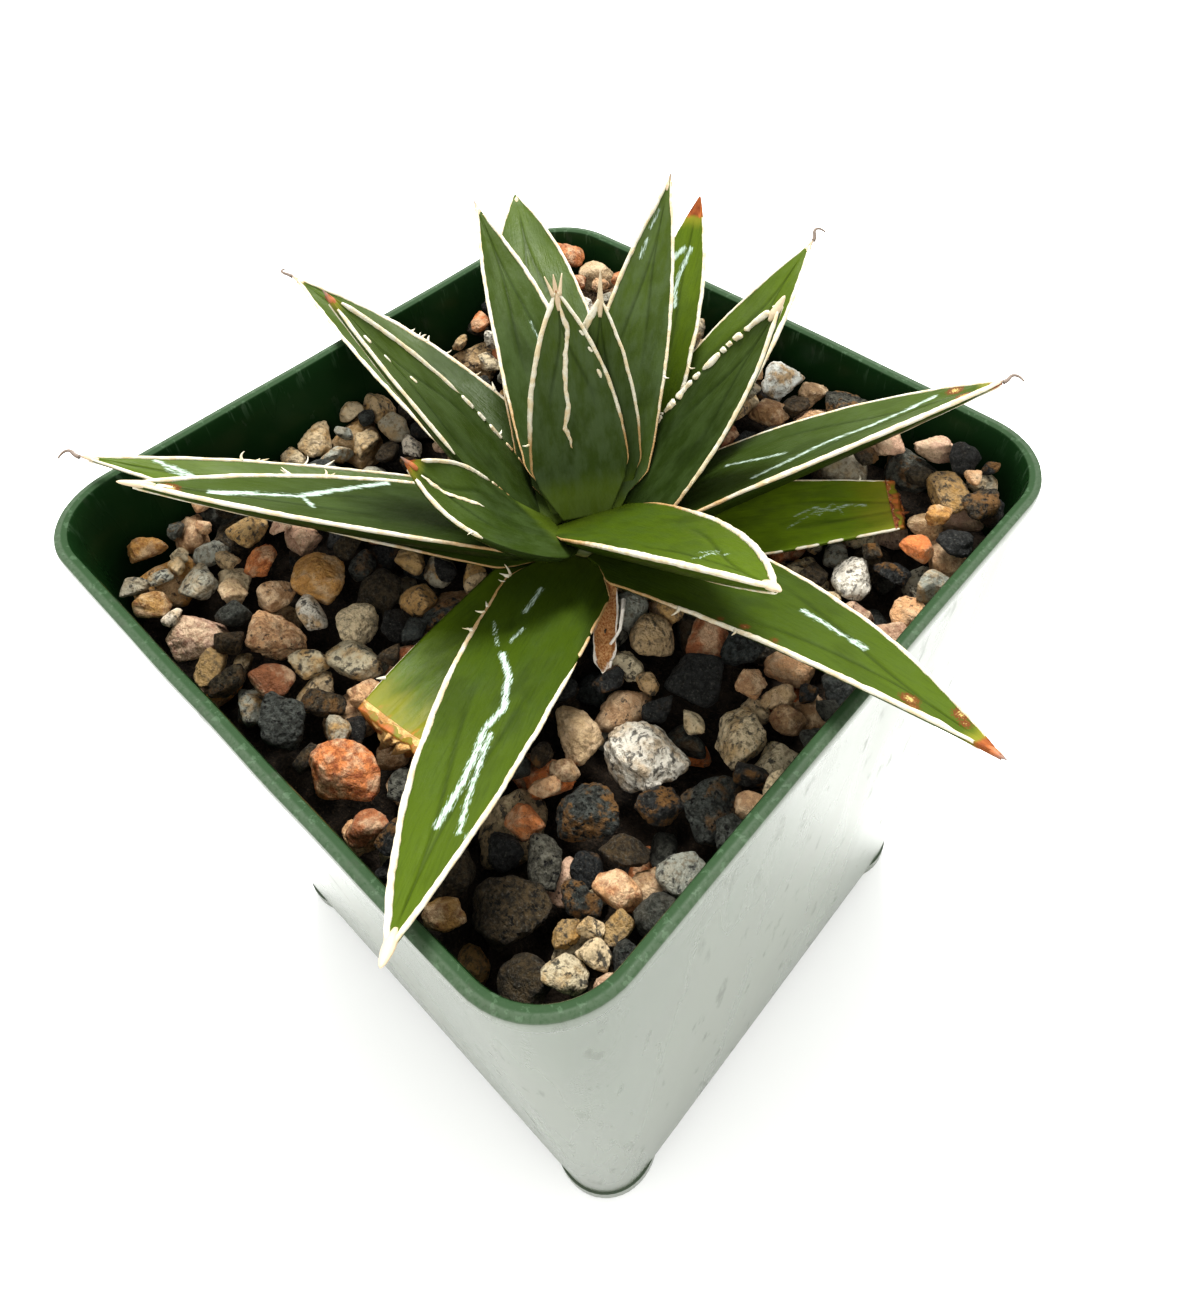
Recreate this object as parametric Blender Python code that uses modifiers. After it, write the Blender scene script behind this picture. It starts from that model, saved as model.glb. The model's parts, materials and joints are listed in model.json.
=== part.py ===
"""A young agave in a square nursery pot, top-dressed with loose gravel.

Metres, +Z up. The origin is on the ground, at the middle of the pot's square base.
The pot is one moulding. It holds potting mix, a bed of fine gravel, the larger pebbles
that lie on that bed, and the plant: a short stem with its leaves in eight ranks.
Every solid keeps GAP to the solids that it touches.
"""
import math
import random
from collections import namedtuple

import bmesh
import bpy
from mathutils import Matrix, Vector, noise
from mathutils.bvhtree import BVHTree

MM = 0.001
GAP = 0.3 * MM

# Pot
POT_HEIGHT = 100 * MM
POT_HALF_TOP = 44.5 * MM
POT_HALF_BASE = 40 * MM
CORNER_TOP = 10 * MM
CORNER_BASE = 7.5 * MM
WALL = 1.7 * MM
FLOOR = 2 * MM
FOOT_HEIGHT = 1.8 * MM
FOOT_RADIUS = 7 * MM
FOOT_SINK = 1 * MM
LIP = 0.35 * MM
LIP_HEIGHT = 2.4 * MM
RIM_ROUND = 0.4 * MM
DRAIN_RADIUS = 4 * MM
DRAIN_OFFSET = 24 * MM
CORNER_SEGMENTS = 6
ROUND_SEGMENTS = 24

# Fill
MIX_TOP = 72 * MM
BED_TOP = 82.3 * MM
BED_RISE = 5.5 * MM
BED_BUMP = 0.7 * MM
BED_GRAIN = 6 * MM
BED_RINGS = 12
BED_SIDE_STEPS = 6
RISE_START_Y = 12 * MM
RISE_END_Y = 40 * MM
PEBBLE_LIFT = 0.5 * MM
PEBBLE_FLATNESS = 0.66
PEBBLE_ROUGHNESS = 0.12
PEBBLE_LUMPS = 3
PEBBLE_WIDTHS = (0.76, 0.9)
PEBBLE_NOISE_STEP = 10

# Plant
STEM_X = 1 * MM
STEM_Y = 4 * MM
STEM_PROFILE = [(0.8, 93.5), (2.4, 92.8), (3.6, 90.5), (4, 86), (4, 74), (3, 66), (1.2, 62)]
STEM_STEPS = 20
LEAF_RINGS = 11
MARGIN = 0.5 * MM
CHANNEL = 0.05
CHANNEL_SHOULDER = 0.7
KEEL = 0.32
KEEL_SHOULDER = 0.62
TAPER_POWER = 2.2
KEEL_POWER = 2.5
BASE_WIDTH = 0.62
BASE_SPREAD = 0.12
TIP_SHARE = 0.97
SPINE_LENGTH = 2.5 * MM
SPINE_RADIUS = 0.15 * MM
WELD = 0.02 * MM
SLIVER = 0.01 * MM

# base_height is above the ground and start is from the stem's axis, both in mm. azimuth is
# counterclockwise from +X and rise is above the horizontal, in degrees. curl and sweep are
# how far the leaf bends up and turns along its length, and twist is its roll about its own
# axis, in degrees. kept is the fraction that is left after a cut. The oldest comes first.
Leaf = namedtuple("Leaf", "name base_height start azimuth rise curl sweep twist length width kept")
LEAVES = [
    Leaf("leaf_01_cut", 87.5, 4.6, -84, 3, 0, 0, 0, 55, 13.5, 0.56),
    Leaf("leaf_02_cut", 89, 4.6, 42, 8, -1, -2, -2, 50, 14, 0.7),
    Leaf("leaf_03", 88, 5, -139, 17, -4, -1, 4, 56, 14, 1),
    Leaf("leaf_04", 90.2, 5, 2, 22, -2, -22, -6, 55.3, 14, 1),
    Leaf("leaf_05", 89, 5.2, -66, 14.5, 4, 12, 1, 55, 13.5, 1),
    Leaf("leaf_06", 90.5, 4.8, 145, 27.5, -9, 0, -1, 47.5, 14.5, 1),
    Leaf("leaf_07", 89.5, 4.8, 105, 36, 0, 9, -10, 42, 11, 1),
    Leaf("leaf_08", 89.8, 5.2, 179, 24, -14, 4, 3, 54, 13, 1),
    Leaf("leaf_09", 91, 5.5, -127.5, 26, -6, 2, 17, 46.5, 15, 1),
    Leaf("leaf_10", 91, 5.3, 52, 25, -12, -4, -21, 47, 14.5, 1),
    Leaf("leaf_11", 90.3, 6.5, 83.5, 36, -10, 8, -2, 41, 12.5, 1),
    Leaf("leaf_12", 92, 4.8, 150, 33, -8, 7, 3, 42.5, 11.5, 1),
    Leaf("leaf_13", 92.4, 4.5, 111, 49, -1, -1, -4, 39, 12, 1),
    Leaf("leaf_14", 92, 5.2, -149, 50, 8, -2, 15, 36.5, 12.5, 1),
    Leaf("leaf_15", 90.5, 4.6, 60, 50, 5, 7, -2, 33, 13, 1),
    Leaf("leaf_16", 93, 1.8, -10, 37, -4, -16, -8, 43, 13.5, 1),
    Leaf("leaf_17", 92.5, 0.5, -157, 4, 3, -8, 8, 23, 13, 1),
    Leaf("leaf_18", 95.5, 2.9, 141, 71, -1, 7, 2, 24.5, 12.5, 1),
    Leaf("leaf_19", 95, 3.1, 109, 81, 8, 3, 2, 29.5, 11.5, 1),
]
DRIED_LEAF = Leaf("dried_leaf", 86.5, 5.2, -50, -6, -10, 2, 0, 16, 4, 1)

# The larger pebbles: x, y and length in mm, the turn of the long axis in degrees, and rock.
Pebble = namedtuple("Pebble", "x y length turn rock")
PEBBLES = [
    Pebble(4, -37, 8.6, 20, "granite"),
    Pebble(27, -14, 8.5, 20, "quartz"),
    Pebble(33, -6, 7.4, 100, "quartz"),
    Pebble(25, -3, 7.4, 40, "basalt"),
    Pebble(36, -14, 7.6, 80, "basalt"),
    Pebble(27, -23, 7.5, 120, "basalt"),
    Pebble(28, -35, 8, 150, "basalt"),
    Pebble(19, -17, 6.6, 0, "granite"),
    Pebble(20, -37, 7.2, 30, "basalt"),
    Pebble(35, -33, 5.4, 70, "quartz"),
    Pebble(37, -24, 5.2, 130, "granite"),
    Pebble(17, -2, 6.4, 50, "quartz"),
    Pebble(-18, -32, 7.6, 10, "granite"),
    Pebble(-21, -23, 8, 150, "granite"),
    Pebble(-25, -38, 7, 35, "granite"),
    Pebble(-35, -26, 6.4, 110, "basalt"),
    Pebble(-35, -36, 8, 75, "granite"),
    Pebble(-7, -38, 7.2, 165, "basalt"),
    Pebble(-12, -24, 6, 25, "quartz"),
    Pebble(-26, -15, 7, 95, "basalt"),
    Pebble(-37, -16, 6.6, 55, "basalt"),
    Pebble(-38, -4, 8.4, 140, "granite"),
    Pebble(-30, 9, 6.4, 15, "basalt"),
    Pebble(-37, 19, 8.6, 65, "quartz"),
    Pebble(-36, 34, 7, 125, "basalt"),
    Pebble(-24, 30, 6.2, 45, "granite"),
    Pebble(-14, 38, 6.4, 85, "granite"),
    Pebble(2, 37, 7, 5, "basalt"),
    Pebble(12, 37, 5.8, 115, "granite"),
    Pebble(37, 12, 6, 60, "granite"),
    Pebble(28, 37, 7.4, 20, "basalt"),
    Pebble(37, 35, 6.4, 135, "granite"),
    Pebble(38, 24, 6, 90, "quartz"),
    Pebble(38, 2, 5.8, 160, "granite"),
    Pebble(13, -28, 6, 75, "basalt"),
    Pebble(-29, -30, 5.6, 5, "quartz"),
]
ROCK_COLOURS = {
    "basalt": (0.06, 0.06, 0.055),
    "granite": (0.42, 0.2, 0.1),
    "quartz": (0.6, 0.5, 0.36),
}


def clear_scene():
    for obj in list(bpy.data.objects):
        bpy.data.objects.remove(obj, do_unlink=True)


def collection(name):
    found = bpy.data.collections.new(name)
    bpy.context.scene.collection.children.link(found)
    return found


def material(name, colour, roughness):
    found = bpy.data.materials.new(name)
    found.use_nodes = True
    shader = found.node_tree.nodes["Principled BSDF"]
    shader.inputs["Base Color"].default_value = (*colour, 1)
    shader.inputs["Roughness"].default_value = roughness
    shader.inputs["Metallic"].default_value = 0
    return found


def add_object(name, bm, target, surface=None):
    """Turn a bmesh into an object with outward faces, in a collection."""
    bmesh.ops.recalc_face_normals(bm, faces=bm.faces)
    mesh = bpy.data.meshes.new(name)
    bm.to_mesh(mesh)
    bm.free()
    obj = bpy.data.objects.new(name, mesh)
    target.objects.link(obj)
    if surface:
        mesh.materials.append(surface)
    return obj


def as_cutter(obj):
    obj.hide_render = True
    obj.display_type = "WIRE"
    return obj


def boolean(obj, other, operation):
    modifier = obj.modifiers.new(operation.lower(), "BOOLEAN")
    modifier.operation = operation
    modifier.object = other
    modifier.solver = "EXACT"


def blend(start, end, share):
    return start + (end - start) * share


def smoothstep(low, high, value):
    share = min(max((value - low) / (high - low), 0), 1)
    return share * share * (3 - 2 * share)


# Lofts through sections that differ in shape


def rounded_square(half, radius, height, steps=CORNER_SEGMENTS, side_steps=1):
    """Points of a rounded square, counterclockwise, with each side in side_steps parts."""
    inner = half - radius
    points = []
    for quarter in range(4):
        turn = Matrix.Rotation(quarter * math.pi / 2, 3, "Z")
        for step in range(steps + 1):
            angle = step / steps * math.pi / 2
            arc = Vector((inner + radius * math.cos(angle), inner + radius * math.sin(angle), height))
            points.append(turn @ arc)
        for step in range(1, side_steps):
            points.append(turn @ Vector((blend(inner, -inner, step / side_steps), half, height)))
    return points


def loft(bm, sections, top_centre=None):
    """Bridge equal-sized sections in order. A fan to top_centre closes the last one."""
    rings = [[bm.verts.new(point) for point in section] for section in sections]
    for first, second in zip(rings, rings[1:]):
        for index in range(len(first)):
            following = (index + 1) % len(first)
            bm.faces.new((first[index], first[following], second[following], second[index]))
    bm.faces.new(rings[0])
    last = rings[-1]
    if top_centre is None:
        bm.faces.new(last)
        return
    hub = bm.verts.new(top_centre)
    for index in range(len(last)):
        bm.faces.new((last[index], last[(index + 1) % len(last)], hub))


# Pot and fill


def pot_half(height):
    """Half the outer width of the pot's wall at a height."""
    return blend(POT_HALF_BASE, POT_HALF_TOP, (height - FOOT_HEIGHT) / (POT_HEIGHT - FOOT_HEIGHT))


def pot_corner(height):
    return blend(CORNER_BASE, CORNER_TOP, (height - FOOT_HEIGHT) / (POT_HEIGHT - FOOT_HEIGHT))


def wall_section(height, inset, side_steps=1):
    """The pot's outline at a height, moved in by an inset."""
    half = pot_half(height) - inset
    return rounded_square(half, pot_corner(height) - inset, height, side_steps=side_steps)


def make_pot(target, cutters):
    lip_foot = POT_HEIGHT - LIP_HEIGHT
    profile = [
        (FOOT_HEIGHT, RIM_ROUND),
        (FOOT_HEIGHT + RIM_ROUND, 0),
        (lip_foot - LIP, 0),
        (lip_foot, -LIP),
        (POT_HEIGHT - RIM_ROUND, -LIP),
        (POT_HEIGHT, RIM_ROUND - LIP),
        (POT_HEIGHT, WALL - RIM_ROUND),
        (POT_HEIGHT - RIM_ROUND, WALL),
        (FOOT_HEIGHT + FLOOR, WALL),
    ]
    bm = bmesh.new()
    loft(bm, [wall_section(height, inset) for height, inset in profile])
    pot = add_object("pot", bm, target, material("pot_plastic", (0.03, 0.075, 0.03), 0.3))
    foot_centre = POT_HALF_BASE - CORNER_BASE
    foot_depth = FOOT_HEIGHT + FOOT_SINK
    for side_x in (-1, 1):
        for side_y in (-1, 1):
            place = Vector((side_x * foot_centre, side_y * foot_centre, foot_depth / 2))
            boolean(pot, cylinder("foot_form", FOOT_RADIUS, foot_depth, place, cutters), "UNION")
    for x, y in ((0, 0), (DRAIN_OFFSET, 0), (-DRAIN_OFFSET, 0), (0, DRAIN_OFFSET), (0, -DRAIN_OFFSET)):
        place = Vector((x, y, FOOT_HEIGHT + FLOOR / 2))
        boolean(pot, cylinder("drain_cutter", DRAIN_RADIUS, 3 * FLOOR, place, cutters), "DIFFERENCE")
    return pot


def cylinder(name, radius, height, centre, cutters):
    bm = bmesh.new()
    bmesh.ops.create_cone(
        bm, cap_ends=True, segments=ROUND_SEGMENTS, radius1=radius, radius2=radius, depth=height,
        matrix=Matrix.Translation(centre),
    )
    return as_cutter(add_object(name, bm, cutters))


def make_mix(target, stem_cutter):
    """The potting mix, which fills the pot from its floor to under the gravel."""
    floor = FOOT_HEIGHT + FLOOR + GAP
    bm = bmesh.new()
    loft(bm, [wall_section(height, WALL + GAP) for height in (floor, MIX_TOP)])
    mix = add_object("potting_mix", bm, target, material("potting_mix", (0.03, 0.02, 0.012), 0.9))
    boolean(mix, stem_cutter, "DIFFERENCE")
    return mix


def bed_height(x, y):
    """The gravel bed's surface: uneven, and banked up towards the +Y wall."""
    bank = BED_RISE * smoothstep(RISE_START_Y, RISE_END_Y, y)
    bump = BED_BUMP * noise.noise(Vector((x / BED_GRAIN, y / BED_GRAIN, 0)))
    return BED_TOP + bank + bump


def make_bed(target, stem_cutter):
    """The bed of small packed gravel, as one solid."""
    edge = wall_section(BED_TOP, WALL + GAP, side_steps=BED_SIDE_STEPS)
    sections = [wall_section(MIX_TOP + GAP, WALL + GAP, side_steps=BED_SIDE_STEPS)]
    for ring in range(BED_RINGS):
        share = 1 - ring / BED_RINGS
        surface = [point * share for point in edge]
        sections.append([Vector((p.x, p.y, bed_height(p.x, p.y))) for p in surface])
    bm = bmesh.new()
    loft(bm, sections, top_centre=(0, 0, bed_height(0, 0)))
    bed = add_object("gravel_bed", bm, target, material("fine_gravel", (0.1, 0.08, 0.06), 0.85))
    boolean(bed, stem_cutter, "DIFFERENCE")
    return bed


def make_pebble(index, pebble, target):
    """A worn stone that lies flat on the bed."""
    name = f"pebble_{index:02d}_{pebble.rock}"
    draw = random.Random(index)
    length = pebble.length * MM
    width = length * draw.uniform(*PEBBLE_WIDTHS)
    bm = bmesh.new()
    bmesh.ops.create_icosphere(bm, subdivisions=2, radius=0.5)
    turn = Matrix.Rotation(math.radians(pebble.turn), 3, "Z")
    for vert in bm.verts:
        lump = noise.noise(vert.co * PEBBLE_LUMPS + Vector((index * PEBBLE_NOISE_STEP, 0, 0)))
        swell = 1 + PEBBLE_ROUGHNESS * lump
        shape = Vector((vert.co.x * length, vert.co.y * width, vert.co.z * length * PEBBLE_FLATNESS))
        vert.co = turn @ (shape * swell) + Vector((pebble.x * MM, pebble.y * MM, 0))
    lift = max(bed_height(vert.co.x, vert.co.y) - vert.co.z for vert in bm.verts)
    bmesh.ops.translate(bm, verts=bm.verts, vec=(0, 0, lift + PEBBLE_LIFT))
    return add_object(name, bm, target, material(name, ROCK_COLOURS[pebble.rock], 0.6))


# Plant


def make_stem(name, grow, target, surface=None):
    """The short stem, turned from its profile; grow makes the cutter that clears it."""
    bm = bmesh.new()
    profile = [Vector((radius * MM + grow, 0, height * MM)) for radius, height in STEM_PROFILE]
    profile[0].z += grow
    profile[-1].z -= grow
    points = [Vector((0, 0, profile[0].z))] + profile + [Vector((0, 0, profile[-1].z))]
    verts = [bm.verts.new(point) for point in points]
    for first, second in zip(verts, verts[1:]):
        bm.edges.new((first, second))
    mesh = bpy.data.meshes.new(name)
    bm.to_mesh(mesh)
    bm.free()
    stem = bpy.data.objects.new(name, mesh)
    stem.location = (STEM_X, STEM_Y, 0)
    target.objects.link(stem)
    if surface:
        mesh.materials.append(surface)
    screw = stem.modifiers.new("turn", "SCREW")
    screw.steps = STEM_STEPS
    screw.render_steps = STEM_STEPS
    screw.use_merge_vertices = True
    screw.merge_threshold = 0.0001
    return stem


def leaf_half_width(leaf, share):
    spread = blend(BASE_WIDTH, 1, smoothstep(0, BASE_SPREAD, share))
    return leaf.width * MM / 2 * (1 - share**TAPER_POWER) * spread


def leaf_keel_depth(leaf, share):
    return KEEL * leaf.width * MM * (1 - share**KEEL_POWER)


def leaf_frames(leaf, shares):
    """The leaf's axis at each share of its length, with its side and face directions."""
    azimuth = math.radians(leaf.azimuth)
    outward = Vector((math.cos(azimuth), math.sin(azimuth), 0))
    place = Vector((STEM_X, STEM_Y, leaf.base_height * MM)) + outward * leaf.start * MM
    frames = []
    previous = 0
    for share in shares:
        middle = (previous + share) / 2
        place = place + leaf_direction(leaf, middle) * leaf.length * MM * (share - previous)
        along = leaf_direction(leaf, share)
        level = Vector((0, 0, 1)).cross(along).normalized()
        side = Matrix.Rotation(math.radians(leaf.twist), 3, along) @ level
        frames.append((place, side, along.cross(side)))
        previous = share
    return frames


def leaf_direction(leaf, share):
    rise = math.radians(leaf.rise + leaf.curl * share)
    azimuth = math.radians(leaf.azimuth + leaf.sweep * share)
    return Vector((
        math.cos(rise) * math.cos(azimuth),
        math.cos(rise) * math.sin(azimuth),
        math.sin(rise),
    ))


def leaf_section(half, keel, margin, channel):
    """A three-sided section, in side and face distances: hollow face, two margins, keel."""
    shoulder = half / 2
    hollow = -channel * CHANNEL_SHOULDER
    flank = -margin / 2 - keel * KEEL_SHOULDER
    return [
        (half, margin / 2),
        (shoulder, hollow),
        (0, -channel),
        (-shoulder, hollow),
        (-half, margin / 2),
        (-half, -margin / 2),
        (-shoulder, flank),
        (0, -margin / 2 - keel),
        (shoulder, flank),
        (half, -margin / 2),
    ]


def make_leaf(leaf, grow, target, surface=None):
    """A leaf lofted along its axis; grow thickens it all round, for a cutter."""
    tip = min(leaf.kept, TIP_SHARE)
    shares = [tip * ring / (LEAF_RINGS - 1) for ring in range(LEAF_RINGS)]
    frames = leaf_frames(leaf, shares)
    sections = []
    for share, (place, side, face) in zip(shares, frames):
        half = leaf_half_width(leaf, share) + grow
        keel = leaf_keel_depth(leaf, share) + grow
        channel = CHANNEL * half
        outline = leaf_section(half, keel, MARGIN + 2 * grow, channel - grow)
        sections.append([place + side * across + face * up for across, up in outline])
    if leaf.kept == 1:
        place, side, face = leaf_frames(leaf, [1])[0]
        end = place + leaf_direction(leaf, 1) * SPINE_LENGTH
        radius = SPINE_RADIUS + grow
        ring = leaf_section(radius, radius, radius, 0)
        sections.append([end + side * across + face * up for across, up in ring])
    bm = bmesh.new()
    loft(bm, sections)
    return add_object(leaf.name, bm, target, surface)


def largest_body(bm):
    """Drop every body but the one with the most faces."""
    left = set(bm.faces)
    bodies = []
    while left:
        front = [left.pop()]
        body = list(front)
        while front:
            face = front.pop()
            near = {other for edge in face.edges for other in edge.link_faces} & left
            left -= near
            front.extend(near)
            body.extend(near)
        bodies.append(body)
    bodies.sort(key=lambda body: sum(face.calc_area() for face in body))
    for body in bodies[:-1]:
        bmesh.ops.delete(bm, geom=body, context="FACES")


def carve(piece, neighbours):
    """Cut a piece back from its neighbours' cutters, and keep its main body."""
    tree = BVHTree.FromObject(piece, bpy.context.evaluated_depsgraph_get())
    for neighbour in neighbours:
        graph = bpy.context.evaluated_depsgraph_get()
        if tree.overlap(BVHTree.FromObject(neighbour, graph)):
            boolean(piece, neighbour, "DIFFERENCE")
    if not piece.modifiers:
        return
    graph = bpy.context.evaluated_depsgraph_get()
    mesh = bpy.data.meshes.new_from_object(piece.evaluated_get(graph))
    piece.modifiers.clear()
    bm = bmesh.new()
    bm.from_mesh(mesh)
    bmesh.ops.remove_doubles(bm, verts=bm.verts, dist=WELD)
    bmesh.ops.dissolve_degenerate(bm, edges=bm.edges, dist=SLIVER)
    largest_body(bm)
    bm.to_mesh(mesh)
    bm.free()
    piece.data = mesh


def make_plant(target, cutters, stem_cutter):
    """The stem and its leaves; each leaf is seated on the older leaves around it."""
    make_stem("stem", 0, target, material("stem", (0.3, 0.36, 0.14), 0.6))
    bpy.context.view_layer.update()
    neighbours = [stem_cutter]
    dried = material("dried_leaf", (0.45, 0.3, 0.15), 0.8)
    for leaf in LEAVES + [DRIED_LEAF]:
        surface = dried if leaf is DRIED_LEAF else material(leaf.name, (0.1, 0.18, 0.04), 0.45)
        piece = make_leaf(leaf, 0, target, surface)
        bpy.context.view_layer.update()
        carve(piece, neighbours)
        neighbours.append(as_cutter(make_leaf(leaf._replace(name=leaf.name + "_clearance"), GAP, cutters)))
        bpy.context.view_layer.update()


def main():
    clear_scene()
    parts = collection("potted_agave")
    cutters = collection("cutters")
    stem_cutter = as_cutter(make_stem("stem_clearance", GAP, cutters))
    make_pot(parts, cutters)
    make_mix(parts, stem_cutter)
    make_bed(parts, stem_cutter)
    for index, pebble in enumerate(PEBBLES, start=1):
        make_pebble(index, pebble, parts)
    make_plant(parts, cutters, stem_cutter)


main()
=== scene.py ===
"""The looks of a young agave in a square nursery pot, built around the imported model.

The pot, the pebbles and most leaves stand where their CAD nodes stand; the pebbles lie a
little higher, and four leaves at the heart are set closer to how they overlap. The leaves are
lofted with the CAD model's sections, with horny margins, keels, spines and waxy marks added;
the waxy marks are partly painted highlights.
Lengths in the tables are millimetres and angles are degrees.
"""
import json
import math
import random
from collections import namedtuple

import bpy
import numpy as np
from mathutils import Matrix, Vector, noise
from mathutils.bvhtree import BVHTree

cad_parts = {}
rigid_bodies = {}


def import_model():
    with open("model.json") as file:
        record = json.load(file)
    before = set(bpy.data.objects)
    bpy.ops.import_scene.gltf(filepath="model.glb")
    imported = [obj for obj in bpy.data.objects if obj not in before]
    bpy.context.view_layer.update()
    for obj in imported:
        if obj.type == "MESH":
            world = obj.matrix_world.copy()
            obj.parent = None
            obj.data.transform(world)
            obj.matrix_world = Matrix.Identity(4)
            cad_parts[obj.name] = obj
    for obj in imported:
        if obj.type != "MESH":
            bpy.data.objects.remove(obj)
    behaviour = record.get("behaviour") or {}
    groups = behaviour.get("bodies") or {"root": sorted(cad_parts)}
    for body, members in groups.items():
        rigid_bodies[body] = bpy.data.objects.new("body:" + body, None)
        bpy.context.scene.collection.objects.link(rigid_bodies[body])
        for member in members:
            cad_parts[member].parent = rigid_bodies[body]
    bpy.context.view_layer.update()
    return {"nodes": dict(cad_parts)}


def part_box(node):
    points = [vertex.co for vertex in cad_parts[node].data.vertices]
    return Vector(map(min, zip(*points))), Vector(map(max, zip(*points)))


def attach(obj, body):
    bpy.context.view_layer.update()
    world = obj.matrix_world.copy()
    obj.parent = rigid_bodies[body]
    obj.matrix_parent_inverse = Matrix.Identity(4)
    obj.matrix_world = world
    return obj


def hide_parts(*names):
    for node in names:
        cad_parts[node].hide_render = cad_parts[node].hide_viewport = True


MM = 0.001

# Camera, from the view angle that shows the pot's front corner
VIEW_AZIMUTH = 43.4
VIEW_ELEVATION = 44.67
VIEW_ROLL = -2.18
VIEW_PLACE = Vector((65.8, -54.0, 186.6)) * MM
VIEW_LENS = 27.86
VIEW_SHIFT = (-0.032, -0.142)

# Pot
POT_HEIGHT = 100
POT_HALF_TOP = 44.5
POT_HALF_BASE = 40
CORNER_TOP = 10
CORNER_BASE = 7.5
WALL = 1.7
FLOOR = 2
FOOT_HEIGHT = 1.8
FOOT_SHOWN = 7.9
FOOT_SINK = 1
DRAIN_RADIUS = 4
DRAIN_OFFSET = 24
DRAIN_SPAN = (1, 7)
SHARP_ANGLE = 38

# Plant, with the proportions of the CAD model
STEM = (1, 4)
TAPER_POWER = 2.2
KEEL = 0.32
KEEL_POWER = 2.5
BASE_WIDTH = 0.62
WRAPPED_BASE = 0.88
WRAPPING_SHEATH = 3
BASE_SPREAD = 0.12
CHANNEL = 0.05
EDGE = 0.5
SPINE_LENGTH = 2.5

Leaf = namedtuple("Leaf", "name base_height start azimuth rise curl sweep twist length width kept")
LEAVES = [
    Leaf("leaf_01_cut", 87.5, 4.6, -84, 3, 0, 0, 0, 55, 13.5, 0.56),
    Leaf("leaf_02_cut", 89, 4.6, 42, 8, -1, -2, -2, 50, 14, 0.7),
    Leaf("leaf_03", 88, 5, -139, 17, -4, -1, 4, 56, 14, 1),
    Leaf("leaf_04", 90.2, 5, 2, 22, -2, -22, -6, 55.3, 14, 1),
    Leaf("leaf_05", 89, 5.2, -66, 14.5, 4, 12, 1, 55, 13.5, 1),
    Leaf("leaf_06", 90.5, 4.8, 145, 27.5, -9, 0, -1, 47.5, 14.5, 1),
    Leaf("leaf_07", 89.5, 4.8, 105, 36, 0, 9, -10, 42, 11, 1),
    Leaf("leaf_08", 89.8, 5.2, 179, 23, -16, 4, 3, 53, 13, 1),
    Leaf("leaf_09", 91, 5.5, -127.5, 26, -6, 2, 17, 46.5, 15, 1),
    Leaf("leaf_10", 91, 5.3, 52, 25, -12, -4, -21, 47, 14.5, 1),
    Leaf("leaf_11", 90.3, 6.5, 83.5, 36, -10, 8, -2, 41, 12.5, 1),
    Leaf("leaf_12", 92, 4.8, 150, 33, -8, 7, 3, 42.5, 11.5, 1),
    Leaf("leaf_13", 92.4, 4.5, 111, 49, -1, -1, -4, 39, 12, 1),
    Leaf("leaf_14", 87.8, 5, -149, 64, -13, -2, 15, 40, 12.5, 1),
    Leaf("leaf_15", 90.5, 4.6, 60, 50, 5, 7, -2, 33, 13, 1),
    Leaf("leaf_16", 93, 1.8, -10, 37, -4, -16, -8, 43, 13.5, 1),
    Leaf("leaf_17", 95.3, 6.7, -94, 48, 1.5, -45.5, -2, 20, 13.6, 1),
    Leaf("leaf_18", 95.5, 2.9, 141, 71, -1, 7, 2, 24.5, 12.5, 1),
    Leaf("leaf_19", 95, 5.5, 118, 73, 0, 3, 2, 24.4, 11.5, 1),
]

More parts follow.
